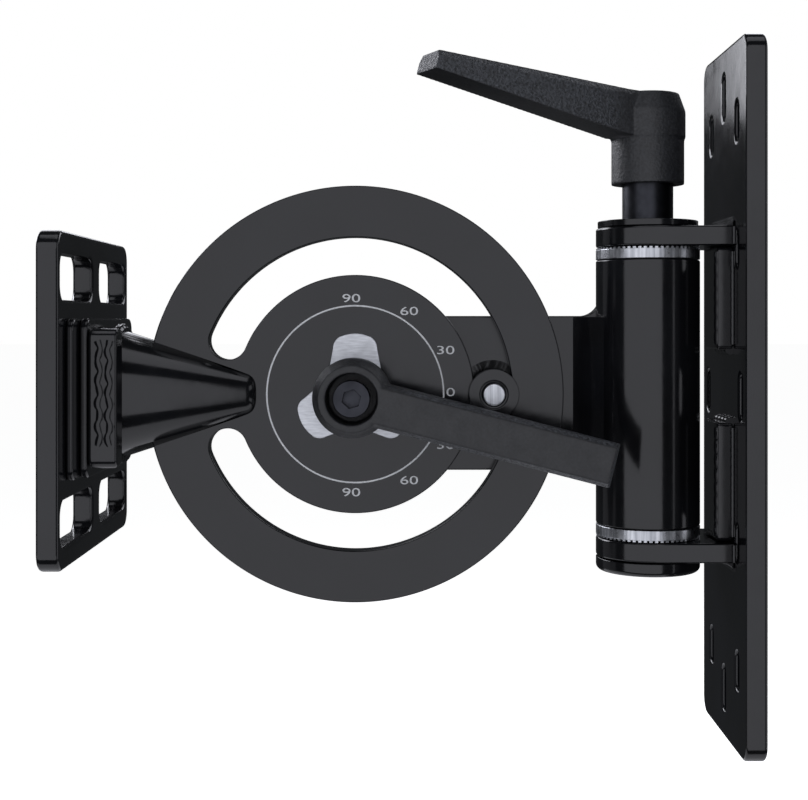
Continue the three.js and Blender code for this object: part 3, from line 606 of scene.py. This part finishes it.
section = [(arm_front, fillet_y - ARM_FILLET - 1.8),
           (arm_front + 0.25 * FILLET_RISE, fillet_y - 0.8 * ARM_FILLET),
           (fillet_x, fillet_y), (fillet_x, fillet_y + 2), (arm_front - 1, fillet_y + 2),
           (arm_front - 1, fillet_y - ARM_FILLET - 1.8)]
filled_weld = sheet_metal(section, [], -arm_half_height + 0.4, arm_half_height - 0.4, 0.15, ACROSS_Z)
bead_y = swivel_y - math.sqrt(tube_radius ** 2 - arm_back ** 2)
back_end = arm_half_height - 1
back_path = [(arm_back - 0.3, bead_y - 0.6, -back_end), (arm_back - 0.3, bead_y - 0.6, back_end)]
arm = joined(arm_shape, filled_weld, weld_bead([back_path], *BACK_BEAD))
finish_piece("arm_plate_coated", arm, powder_coat, "swivel_arm", "powder_coated_steel", "arm_plate")


# ---- Guide: washer, boss, pin and nut ----
# A pin through the arm plate carries a flanged boss that runs in the disc's long slot.
# The pin is bright, the boss is coated, and a nut holds both from behind.

BOSS_SLEEVE_RADIUS = 6.95
PIN_ROOM = 0.35
GUIDE_NUT_ACROSS_FLATS = 13
TILT_BOLT_ACROSS_FLATS = 19
TILT_BOLT_RADIUS = 6

low, high = node_box("guide_pin")
guide_y = (low.y + high.y) / 2
pin_radius = (high.y - low.y) / 2
pin = turned(rod(pin_radius, low.x, high.x, 0.7), ACROSS_X, (0, guide_y, 0), 64)
finish_piece("guide_pin_plated", pin, zinc_plate, "swivel_arm", "bright_steel", "guide_pin")

low, high = node_box("guide_boss")
flange_radius = (high.y - low.y) / 2
bore = pin_radius + PIN_ROOM
boss_profile = soften([
    (bore, 2), (bore, low.x), (BOSS_SLEEVE_RADIUS, low.x), (BOSS_SLEEVE_RADIUS, disc_face + 0.3),
    (flange_radius, disc_face + 0.3), (flange_radius, high.x), (bore + 0.9, high.x),
    (bore + 0.9, high.x - 0.7), (bore, high.x - 0.7), (bore, 2)], 0.45)
boss = turned(boss_profile, ACROSS_X, (0, guide_y, 0), 96)
finish_piece("guide_boss_coated", boss, powder_coat, "swivel_arm", "powder_coated_steel", "guide_boss")

low, high = node_box("guide_washer")
washer = turned(tube_profile(bore, (high.y - low.y) / 2, low.x, high.x, 0.2), ACROSS_X, (0, guide_y, 0), 96)

# The washer's black steel, painted a paler and duller grey than the black oxide: the pale tone is painted
# light, lifting the washer where the boss's flange shades it.
lightened_black_steel, tree, place = new_material("black_steel_painted_paler")
fine_mottle = noise(tree, place, 0.5, 3.0)
surface(tree, {
    # Both greys are painted light: paler than the washer's own black steel.
    "Base Color": blend_colours(tree, spread(tree, fine_mottle, 0, 1), "#4c4d50", "#616266"),
    "Metallic": 1.0,
    "Roughness": spread(tree, fine_mottle, 0.5, 0.6)})
finish_piece("guide_washer_painted_paler", washer, lightened_black_steel, "swivel_arm", "black_steel", "guide_washer")


def hexagon(across_flats, centre=(0, 0), start=0):
    radius = across_flats / math.sqrt(3)
    return [(centre[0] + radius * math.cos(math.radians(start + 60 * side)),
             centre[1] + radius * math.sin(math.radians(start + 60 * side))) for side in range(6)]


low, high = node_box("guide_nut")
nut = sheet_metal(hexagon(GUIDE_NUT_ACROSS_FLATS, (guide_y, 0)), [full_circle((guide_y, 0), bore, 0.5)],
                  low.x, high.x, 0.6, ACROSS_X)
finish_piece("guide_nut_blackened", nut, black_oxide, "swivel_arm", "black_steel", "guide_nut")

low, high = node_box("tilt_bolt")
head_front = arm_back - 0.3
head = sheet_metal(hexagon(TILT_BOLT_ACROSS_FLATS, (tilt_y, 0)), [], low.x, head_front, 0.9, ACROSS_X)
shank = turned(rod(TILT_BOLT_RADIUS, head_front - 1, high.x, 0.8), ACROSS_X, (0, tilt_y, 0), 64)
finish_piece("tilt_bolt_blackened", joined(head, shank), black_oxide, "swivel_arm", "black_steel",
             "tilt_bolt")


# ---- Tilt disc and its scale ----
# A laser-cut disc, 160 mm across, that turns with the screen. A long round slot runs past the guide pin,
# and a fine ring with degree numbers is printed on the coat.

DISC_RIM = 0.55
SLOT_MIDDLE_RADIUS = 53
SLOT_WIDTH = 14.5
SLOT_END = 157.3  # degrees from the arm to the middle of the slot's round end, each way
DISC_BORE_RADIUS = 8.5
SCALE_RADIUS = 33.9
SCALE_LINE = 0.6
NUMBER_HEIGHT = 3.2
NUMBER_STRETCH = 1.6
INK_THICKNESS = 0.04
SCALE_NUMBERS = (("0", 36.6, 0.8), ("90", -1.5, 36.8), ("90", -1.5, -37.6), ("60", 20.7, 31.9),
                 ("60", 20.7, -33), ("30", 34.7, 16.9), ("30", 34.7, -19.4))

end_radius = SLOT_WIDTH / 2
end_y = tilt_y + SLOT_MIDDLE_RADIUS * math.cos(math.radians(SLOT_END))
end_z = SLOT_MIDDLE_RADIUS * math.sin(math.radians(SLOT_END))
disc_slot = (arc((tilt_y, 0), SLOT_MIDDLE_RADIUS + end_radius, -SLOT_END, SLOT_END)
             + arc((end_y, end_z), end_radius, SLOT_END, SLOT_END + 180)[1:-1]
             + arc((tilt_y, 0), SLOT_MIDDLE_RADIUS - end_radius, SLOT_END, -SLOT_END)
             + arc((end_y, -end_z), end_radius, 180 - SLOT_END, 360 - SLOT_END)[1:-1])
disc_bore = full_circle((tilt_y, 0), DISC_BORE_RADIUS)
disc = sheet_metal(full_circle((tilt_y, 0), disc_radius), [disc_slot, disc_bore],
                   0, disc_face, DISC_RIM, ACROSS_X)
finish_piece("tilt_disc_coated", disc, powder_coat, "tilt_head", "powder_coated_steel", "tilt_disc")

# Pad-printed ink: a pale, matt film that lets a little of the black show through.
ink, tree, place = new_material("pale_grey_ink")
surface(tree, {
    "Base Color": blend_colours(tree, spread(tree, noise(tree, place, 0.8), 0, 1), "#c3c5c7", "#e2e4e5"),
    "Roughness": 0.6})


def number_mesh(text, middle_y, middle_z):
    font = bpy.data.curves.new("number", "FONT")
    font.body = text
    font.align_x = "CENTER"
    font.resolution_u = 6
    mesh = made(placed("number", font))
    across = [v.co.x for v in mesh.vertices]
    up = [v.co.y for v in mesh.vertices]
    size = NUMBER_HEIGHT / (max(up) - min(up))
    mesh.transform(Matrix.Translation((-(min(across) + max(across)) / 2, -(min(up) + max(up)) / 2, 0)))
    mesh.transform(Matrix.Diagonal((size * NUMBER_STRETCH, size, 1, 1)))
    mesh.transform(ACROSS_X)
    mesh.transform(Matrix.Translation((disc_face + INK_THICKNESS, tilt_y + middle_y, middle_z)))
    shape = bmesh.new()
    shape.from_mesh(mesh)
    bmesh.ops.remove_doubles(shape, verts=shape.verts, dist=1e-4)
    bmesh.ops.solidify(shape, geom=shape.faces[:], thickness=INK_THICKNESS)
    bmesh.ops.recalc_face_normals(shape, faces=shape.faces)
    shape.to_mesh(mesh)
    shape.free()
    return mesh


printed = [sheet_metal(full_circle((tilt_y, 0), SCALE_RADIUS + SCALE_LINE / 2),
                       [full_circle((tilt_y, 0), SCALE_RADIUS - SCALE_LINE / 2)],
                       disc_face, disc_face + INK_THICKNESS, 0.005, ACROSS_X)]
for text, across, up in SCALE_NUMBERS:
    printed.append(number_mesh(text, across, up))
finish_piece("disc_scale_print", joined(*printed), ink, "tilt_head", "powder_coated_steel")


# ---- Lobe plate ----
# A thin bright plate with three lobes, under the tilt lever's hub. It spreads the clamp's load on the disc.

LOBE_REACH = 23.3
LOBE_HALF_WIDTH = 8.5
LOBE_CORNER = 5
LOBE_NECK = 10.5
LOBE_LEVEL = 12.5

# Ground steel under zinc: evenly bright, with a fine grain along the plate.
ground_zinc, tree, place = new_material("ground_zinc_plate")
grain_way = add(tree, "ShaderNodeMapping", {"Vector": place, "Scale": (1, 0.15, 1)})
grain = noise(tree, grain_way.outputs["Vector"], 0.7, 3.0)
ground = add(tree, "ShaderNodeBump", {"Height": grain, "Strength": 0.15, "Distance": 0.03 * MM})
surface(tree, {
    "Base Color": blend_colours(tree, spread(tree, grain, 0, 1), "#b3b5b9", "#cfd1d5"),
    "Metallic": 1.0,
    "Roughness": spread(tree, noise(tree, place, 4), 0.34, 0.42),
    "Normal": ground.outputs["Normal"]})

low, high = node_box("lobe_plate")
outline = []
for turn in (0, 120, 240):
    lobe = [(LOBE_NECK, LOBE_LEVEL - 6)]
    lobe += arc((LOBE_HALF_WIDTH - LOBE_CORNER, LOBE_REACH - LOBE_CORNER - 0.6), LOBE_CORNER, 0, 60)
    lobe += arc((0, LOBE_REACH - 14), 14, 75, 105)
    lobe += arc((LOBE_CORNER - LOBE_HALF_WIDTH, LOBE_REACH - LOBE_CORNER - 0.6), LOBE_CORNER, 120, 180)
    lobe += [(-LOBE_NECK, LOBE_LEVEL - 6)]
    angle = math.radians(turn)
    for across, up in lobe:
        outline.append((tilt_y + across * math.cos(angle) - up * math.sin(angle),
                        across * math.sin(angle) + up * math.cos(angle)))
lobes = sheet_metal(outline, [full_circle((tilt_y, 0), STUD_HOLE_RADIUS)], low.x, high.x, 0.3, ACROSS_X)
finish_piece("lobe_plate_ground", lobes, ground_zinc, "tilt_head", "bright_steel", "lobe_plate")


# ---- Cone, its base, the side block and the layers behind the screen plate ----
# A solid turned cone, slotted for the disc and welded round its base, carries the screen plate
# through a stack of flat layers. A block beside the base is welded down its outer side.

CONE_RADIUS = 25
CONE_TIP_RADIUS = 7.7
CONE_TIP_REACH = 38
DISC_ROOM = 0.2
CONE_BEAD = (2.1, 4.4)
BLOCK_BEAD = (2.1, 4.6)


def cut_away(mesh, tool):
    """Takes the tool's shape out of the mesh."""
    body = placed("body", mesh)
    cutter = placed("cutter", tool)
    modifier = body.modifiers.new("cut", "BOOLEAN")
    modifier.operation = "DIFFERENCE"
    modifier.solver = "EXACT"
    modifier.object = cutter
    result = made(body)
    bpy.data.objects.remove(cutter)
    return result


ABOUT_Y = Matrix.Rotation(math.radians(-90), 4, "X")
low, high = node_box("cone")
cone_x = (low.x + high.x) / 2
cone_start = low.y - tilt_y
cone_profile = [(0, cone_start)] + soften([
    (CONE_RADIUS, cone_start), (CONE_TIP_RADIUS, -CONE_TIP_REACH), (0, -CONE_TIP_REACH)], 5, 8)
cone_shape = turned(cone_profile, ABOUT_Y, (cone_x, tilt_y, 0), 160)
room = turned(rod(disc_radius + 0.3, -DISC_ROOM, disc_face + DISC_ROOM, 0.1),
              ACROSS_X, (0, tilt_y, 0), 160)
cone_shape = even_shading(clean(cut_away(cone_shape, room)))
cone_bead = [(cone_x + CONE_RADIUS * math.cos(a), tilt_y + cone_start + 0.8, CONE_RADIUS * math.sin(a))
             for a in [math.tau * i / 120 for i in range(120)]]
cone_bead_mesh = weld_bead([cone_bead], *CONE_BEAD, cyclic=True)
finish_piece("cone_coated", joined(cone_shape, cone_bead_mesh), powder_coat, "tilt_head",
             "powder_coated_steel", "cone")

low, high = node_box("cone_base")
base = turned(rod((high.x - low.x) / 2, low.y - tilt_y, high.y - tilt_y, 0.6),
              ABOUT_Y, (cone_x, tilt_y, 0), 128)
finish_piece("cone_base_coated", base, powder_coat, "tilt_head", "powder_coated_steel", "cone_base")

for layer, rim, corner in (("side_block", 1.4, 4), ("spacer_plate", 0.8, 5), ("adapter_plate", 0.8, 5)):
    low, high = node_box(layer)
    outline = rounded_rectangle(low.x, high.x, low.z, high.z, corner)
    flat = sheet_metal(outline, [], low.y, high.y, rim, ACROSS_Y)
    if layer == "side_block":
        waves = []
        for offset in (-1.2, 2.4):
            wave_middle = (low.y + high.y) / 2 + offset
            waves.append([(high.x - 1.5, wave_middle + 0.5 * math.sin(step * 0.8 + offset), z)
                          for step, z in enumerate(range(round(low.z) + 8, round(high.z) - 3))])
        flat = joined(flat, weld_bead(waves, *BLOCK_BEAD))
    finish_piece(f"{layer}_coated", flat, powder_coat, "tilt_head", "powder_coated_steel", layer)


# ---- Screen plate ----
# The square plate that the screen is screwed to: 8 mm steel with four windows that take
# the bolts of both common hole patterns. Its rims are rounded over like the wall plate's.

SCREEN_RIM = 1.4
WINDOW_NEAR_MIDDLE = 5.8
WINDOW_WIDTH = 50.1
WINDOW_HEIGHT = 16.5
WINDOW_FROM_MIDDLE = 43.75
WINDOW_CORNER = 5.5

low, high = node_box("screen_plate")
windows = []
for side in (-1, 1):
    for level in (-1, 1):
        middle = side * (WINDOW_NEAR_MIDDLE + WINDOW_WIDTH / 2)
        height = level * WINDOW_FROM_MIDDLE
        windows.append(rounded_rectangle(
            middle - WINDOW_WIDTH / 2, middle + WINDOW_WIDTH / 2,
            height - WINDOW_HEIGHT / 2, height + WINDOW_HEIGHT / 2, WINDOW_CORNER))
outline = rounded_rectangle(low.x, high.x, low.z, high.z, 7)
screen_plate = sheet_metal(outline, windows, low.y, high.y, SCREEN_RIM, ACROSS_Y)
finish_piece("screen_plate_coated", screen_plate, powder_coat, "tilt_head", "powder_coated_steel",
             "screen_plate")


# ---- Clamping levers ----
# Two alike: an arm and hub moulded in grained black nylon, over a toothed steel insert on the stud.
# A spring holds the hub down on the teeth, and a socket screw in the hub's recess keeps it all together.

HUB_RADIUS = 14
HUB_HEIGHT = 35
HUB_SHOULDER_RADIUS = 14.5
HUB_SHOULDER_HEIGHT = 18
HUB_CHAMFER_HEIGHT = 7
HUB_TOP_RADIUS = 12
HUB_RECESS_RADIUS = 9.4
HUB_RECESS_FLOOR = 20
INSERT_RADIUS = 9.8
INSERT_TOP = 14
INSERT_SCREW_FLOOR = 12
INSERT_ROOM_RADIUS = 10.1
INSERT_ROOM_TOP = 14.3
LEVER_HALF_WIDTH = 8
LEVER_REACH = 97
LEVER_TIP_LOW = 36.6
LEVER_TIP_SLANT = 2
LEVER_TIP_HEIGHT = 6.9
LEVER_CHAMFER = (1.7, 2.4)  # in from the side, and down from the top
SWIVEL_LEVER_TURN = 26.5
TILT_LEVER_DROOP = 14
MOULD_GRID = 0.42  # the mesh spacing that rounds the moulding's edges
SCREW_RADIUS = 3
SCREW_HOLE_RADIUS = 3.3
SCREW_END = 10.1
SCREW_HEAD_RADIUS = 6.7
SCREW_SEAT = 28
SCREW_HEAD_HEIGHT = 5.5
SOCKET_DEPTH = 3.5
SOCKET_ACROSS_FLATS = 6

# Glass-filled nylon: black, dull and spark-eroded to a sandy grain, coarsest on the arm's sides. The pale
# flecks, strong on the arm's sides and end and faint on flat faces, are painted sheen of light on the grain.
nylon, tree, place = new_material("grained_glass_filled_nylon")
grain_and_sheen_share = add(tree, "ShaderNodeAttribute", attribute_name="grain").outputs["Fac"]
sand = noise(tree, place, 1.0, 4.0)
# Pale flecks in the colour: painted sheen on the grain, scaled by the grain value.
fleck_and_sheen_share = add(tree, "ShaderNodeMath", {0: spread(tree, sand, 0, 1), 1: grain_and_sheen_share}, operation="MULTIPLY")
depth = add(tree, "ShaderNodeMath", {0: grain_and_sheen_share, 1: 0.9}, operation="MULTIPLY")
eroded = add(tree, "ShaderNodeBump", {
    "Height": sand, "Strength": depth.outputs[0], "Distance": 1.1 * MM})
surface(tree, {
    "Base Color": blend_colours(tree, fleck_and_sheen_share.outputs[0], "#17181a", "#4b4e53"),
    "Roughness": spread(tree, noise(tree, place, 5), 0.42, 0.52),
    "Normal": eroded.outputs["Normal"],
    "IOR": 1.53})


def lever_arm():
    """The arm alone, pointing along -Y from the hub's axis."""
    def section(y, bottom, top):
        inset, drop = LEVER_CHAMFER
        w = LEVER_HALF_WIDTH
        return [(-w, y, bottom), (w, y, bottom), (w, y, top - drop), (w - inset, y, top),
                (inset - w, y, top), (-w, y, top - drop)]
    shape = bmesh.new()
    near = [shape.verts.new(p) for p in section(-2, HUB_SHOULDER_HEIGHT, HUB_HEIGHT - 0.2)]
    knee = [shape.verts.new(p) for p in section(-HUB_SHOULDER_RADIUS, HUB_SHOULDER_HEIGHT, HUB_HEIGHT + 0.7)]
    top_y = -LEVER_REACH + LEVER_TIP_SLANT
    tip = []
    for x, y, z in section(-LEVER_REACH, LEVER_TIP_LOW, LEVER_TIP_LOW + LEVER_TIP_HEIGHT):
        share = (z - LEVER_TIP_LOW) / LEVER_TIP_HEIGHT
        tip.append(shape.verts.new((x, y + (top_y - y) * share, z)))
    for first, second in ((near, knee), (knee, tip)):
        for i in range(6):
            j = (i + 1) % 6
            shape.faces.new((first[i], first[j], second[j], second[i]))
    shape.faces.new(near[::-1])
    shape.faces.new(tip)
    bmesh.ops.recalc_face_normals(shape, faces=shape.faces)
    mesh = bpy.data.meshes.new("arm")
    shape.to_mesh(mesh)
    shape.free()
    return mesh


def moulded_lever():
    hub = turned([
        (0, 0), (HUB_RADIUS, 0), (HUB_RADIUS, HUB_SHOULDER_HEIGHT - 1),
        (HUB_SHOULDER_RADIUS, HUB_SHOULDER_HEIGHT), (HUB_SHOULDER_RADIUS, HUB_HEIGHT - HUB_CHAMFER_HEIGHT),
        (HUB_TOP_RADIUS, HUB_HEIGHT), (0, HUB_HEIGHT)], steps=96)
    room = turned([(0, -1), (INSERT_ROOM_RADIUS, -1), (INSERT_ROOM_RADIUS, INSERT_ROOM_TOP),
                   (SCREW_HOLE_RADIUS, INSERT_ROOM_TOP), (SCREW_HOLE_RADIUS, HUB_RECESS_FLOOR),
                   (HUB_RECESS_RADIUS, HUB_RECESS_FLOOR),
                   (HUB_RECESS_RADIUS, HUB_HEIGHT + 4), (0, HUB_HEIGHT + 4)], steps=96)
    body = placed("lever", hub)
    arm = placed("arm", lever_arm())
    cutter = placed("room", room)
    for operation, tool in (("UNION", arm), ("DIFFERENCE", cutter)):
        modifier = body.modifiers.new(operation.lower(), "BOOLEAN")
        modifier.operation = operation
        modifier.solver = "EXACT"
        modifier.object = tool
    grid = body.modifiers.new("mould", "REMESH")
    grid.mode = "VOXEL"
    grid.voxel_size = MOULD_GRID
    soft = body.modifiers.new("soft edges", "SMOOTH")
    soft.factor = 0.5
    soft.iterations = 4
    mesh = made(body)
    for item in (arm, cutter):
        bpy.data.objects.remove(item)
    mesh.shade_smooth()
    # The grain value sets the depth of the grain's bump, which is real, and the share of pale flecks, which
    # is painted sheen: strong on the arm's sides and end, faint on flat faces.
    grain = mesh.attributes.new("grain", "FLOAT", "POINT")
    for vertex, mark in zip(mesh.vertices, grain.data):
        on_arm = min(1.0, max(0.0, (-vertex.co.y - 16) / 8))
        flat = abs(vertex.normal.z) > 0.6
        mark.value = (0.12 if flat else 0.3) + 0.7 * on_arm * (0.0 if flat else 1.0)
    return mesh


def screw_mesh():
    head_top = SCREW_SEAT + SCREW_HEAD_HEIGHT
    floor = head_top - SOCKET_DEPTH
    ring = sheet_metal(full_circle((0, 0), SCREW_HEAD_RADIUS, 0.5), [hexagon(SOCKET_ACROSS_FLATS)],
                       floor - 0.1, head_top, 0.35, ACROSS_Z)
    under = turned(soften([
        (0, SCREW_END), (SCREW_RADIUS, SCREW_END), (SCREW_RADIUS, SCREW_SEAT),
        (SCREW_HEAD_RADIUS, SCREW_SEAT), (SCREW_HEAD_RADIUS, floor), (0, floor)], 0.1), steps=64)
    return joined(ring, under)


def insert_mesh(stem_end):
    return turned(soften([
        (0, stem_end), (INSERT_RADIUS, stem_end), (INSERT_RADIUS, INSERT_TOP),
        (SCREW_HOLE_RADIUS, INSERT_TOP), (SCREW_HOLE_RADIUS, INSERT_SCREW_FLOOR),
        (0, INSERT_SCREW_FLOOR)], 0.5), steps=96)


insert_low, insert_high = node_box("swivel_lever_insert")
swivel_hub_bottom = insert_high.z - INSERT_TOP
tilt_insert_low, tilt_insert_high = node_box("tilt_lever_insert")
tilt_hub_bottom = tilt_insert_high.x - INSERT_TOP
swivel_place = (Matrix.Translation((0, swivel_y, swivel_hub_bottom))
                @ Matrix.Rotation(math.radians(SWIVEL_LEVER_TURN), 4, "Z"))
tilt_place = (Matrix.Translation((tilt_hub_bottom, tilt_y, 0))
              @ Matrix.Rotation(math.radians(180 - TILT_LEVER_DROOP), 4, "X")
              @ Matrix.Rotation(math.radians(90), 4, "Y"))
stem_ends = {"swivel": insert_low.z - swivel_hub_bottom, "tilt": tilt_insert_low.x - tilt_hub_bottom}
for axis, lever_place in (("swivel", swivel_place), ("tilt", tilt_place)):
    for node, mesh, material, body, slot in (
            ("lever", moulded_lever(), nylon, "lever_arm", "grained_nylon"),
            ("lever_screw", screw_mesh(), black_oxide, "clamp", "black_steel"),
            ("lever_insert", insert_mesh(stem_ends[axis]), black_oxide, "clamp", "black_steel")):
        mesh.transform(lever_place)
        finish_piece(f"{axis}_{node}_finished", mesh, material, f"{axis}_{body}", slot, f"{axis}_{node}")

# Spring wire: bright drawn steel, with die marks along it.
spring_wire, tree, place = new_material("drawn_spring_wire")
drawn = noise(tree, place, 0.4, 2.0)
surface(tree, {
    "Base Color": blend_colours(tree, spread(tree, drawn, 0, 1), "#7c7e82", "#a3a5a9"),
    "Metallic": 1.0,
    "Roughness": spread(tree, drawn, 0.28, 0.4)})
for axis in ("swivel", "tilt"):
    recoat(f"{axis}_lever_spring", spring_wire)


# ---- Studio: floor, lights and camera ----
# A pale floor well below, a broad softbox in front and one by the wall, a faint fill and a small key at
# the screen's end, a panel above, two lights behind and a low one like the floor's own bounce.
# The surroundings stay dark, so that the gloss coat keeps its deep tone.

FLOOR_DROP = 0.32
CAMERA_PLACE = (0.546, -0.130, 0.02765)
CAMERA_LENS = 62.5
CAMERA_SHIFT = (-0.0074, -0.0965)  # across and up, which keeps the upright edges upright
scene = bpy.context.scene
scene.view_settings.view_transform = "Standard"

floor_material, tree, place = new_material("pale_floor_paint")
surface(tree, {
    "Base Color": blend_colours(tree, spread(tree, noise(tree, place, 180), 0, 1), "#ececea", "#f3f3f1"),
    "Roughness": 0.85,
    "Emission Color": to_linear("#ffffff"),
    "Emission Strength": 0.95})
floor_mesh = bpy.data.meshes.new("floor")
shape = bmesh.new()
bmesh.ops.create_grid(shape, x_segments=8, y_segments=8, size=30)
shape.to_mesh(floor_mesh)
shape.free()
floor_mesh.transform(Matrix.Translation((0, 0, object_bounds()[0].z - FLOOR_DROP)))
floor_mesh.materials.append(floor_material)
floor = placed("floor", floor_mesh)
floor.visible_glossy = False
floor.visible_diffuse = False

world = bpy.data.worlds.new("studio")
scene.world = world
world.use_nodes = True
world.node_tree.nodes.clear()
seen = add(world.node_tree, "ShaderNodeLightPath").outputs["Is Camera Ray"]
dark = add(world.node_tree, "ShaderNodeBackground", {"Color": (0.9, 0.95, 1.0, 1.0), "Strength": 0.035})
pale = add(world.node_tree, "ShaderNodeBackground", {"Color": (1.0, 1.0, 1.0, 1.0), "Strength": 1.0})
backdrop = add(world.node_tree, "ShaderNodeMixShader", {
    0: seen, 1: dark.outputs[0], 2: pale.outputs[0]})
add(world.node_tree, "ShaderNodeOutputWorld", {"Surface": backdrop.outputs[0]})

middle = (cad_box[0] + cad_box[1]) / 2


def softbox(name, azimuth, elevation, distance, width, height, radiance, facing=None):
    """A soft light, aimed at the object unless it faces an azimuth: 0 is the dial's side, 90 the wall's."""
    light = bpy.data.lights.new(name, "AREA")
    light.shape = "RECTANGLE"
    light.size = width
    light.size_y = height
    light.energy = radiance * math.pi * width * height
    light.color = (0.95, 0.96, 1.03)
    holder = placed(name, light)
    holder.visible_camera = False
    a, e = math.radians(azimuth), math.radians(elevation)
    away = Vector((math.cos(a) * math.cos(e), math.sin(a) * math.cos(e), math.sin(e)))
    outward = away
    if facing is not None:
        outward = Vector((math.cos(math.radians(facing)), math.sin(math.radians(facing)), 0))
    turn = outward.to_track_quat("Z", "Y")
    holder.matrix_world = Matrix.Translation(middle + away * distance) @ turn.to_matrix().to_4x4()


softbox("front_softbox", -31.7, 1, 1.0, 1.93, 1.5, 1.05, facing=0)
softbox("wall_side_softbox", 73, 2, 1.5, 1.3, 2.0, 0.75)
softbox("left_fill", -106, 0, 1.5, 1.2, 2.0, 0.16)
softbox("left_key", -126, 24, 1.5, 0.6, 0.6, 6.0)
softbox("top_panel", 10, 80, 1.5, 1.2, 0.8, 1.0)
softbox("back_left", -150, 28, 1.6, 1.2, 0.9, 2.0)
softbox("back_right", 140, 28, 1.6, 1.2, 0.9, 2.0)
softbox("floor_bounce", 180, -78, 0.41, 0.9, 0.6, 0.8)

camera_data = bpy.data.cameras.new("camera")
camera_data.lens = CAMERA_LENS
camera_data.shift_x, camera_data.shift_y = CAMERA_SHIFT
camera = placed("camera", camera_data)
camera.location = CAMERA_PLACE
camera.rotation_euler = (math.radians(90), 0, math.radians(90))
scene.camera = camera
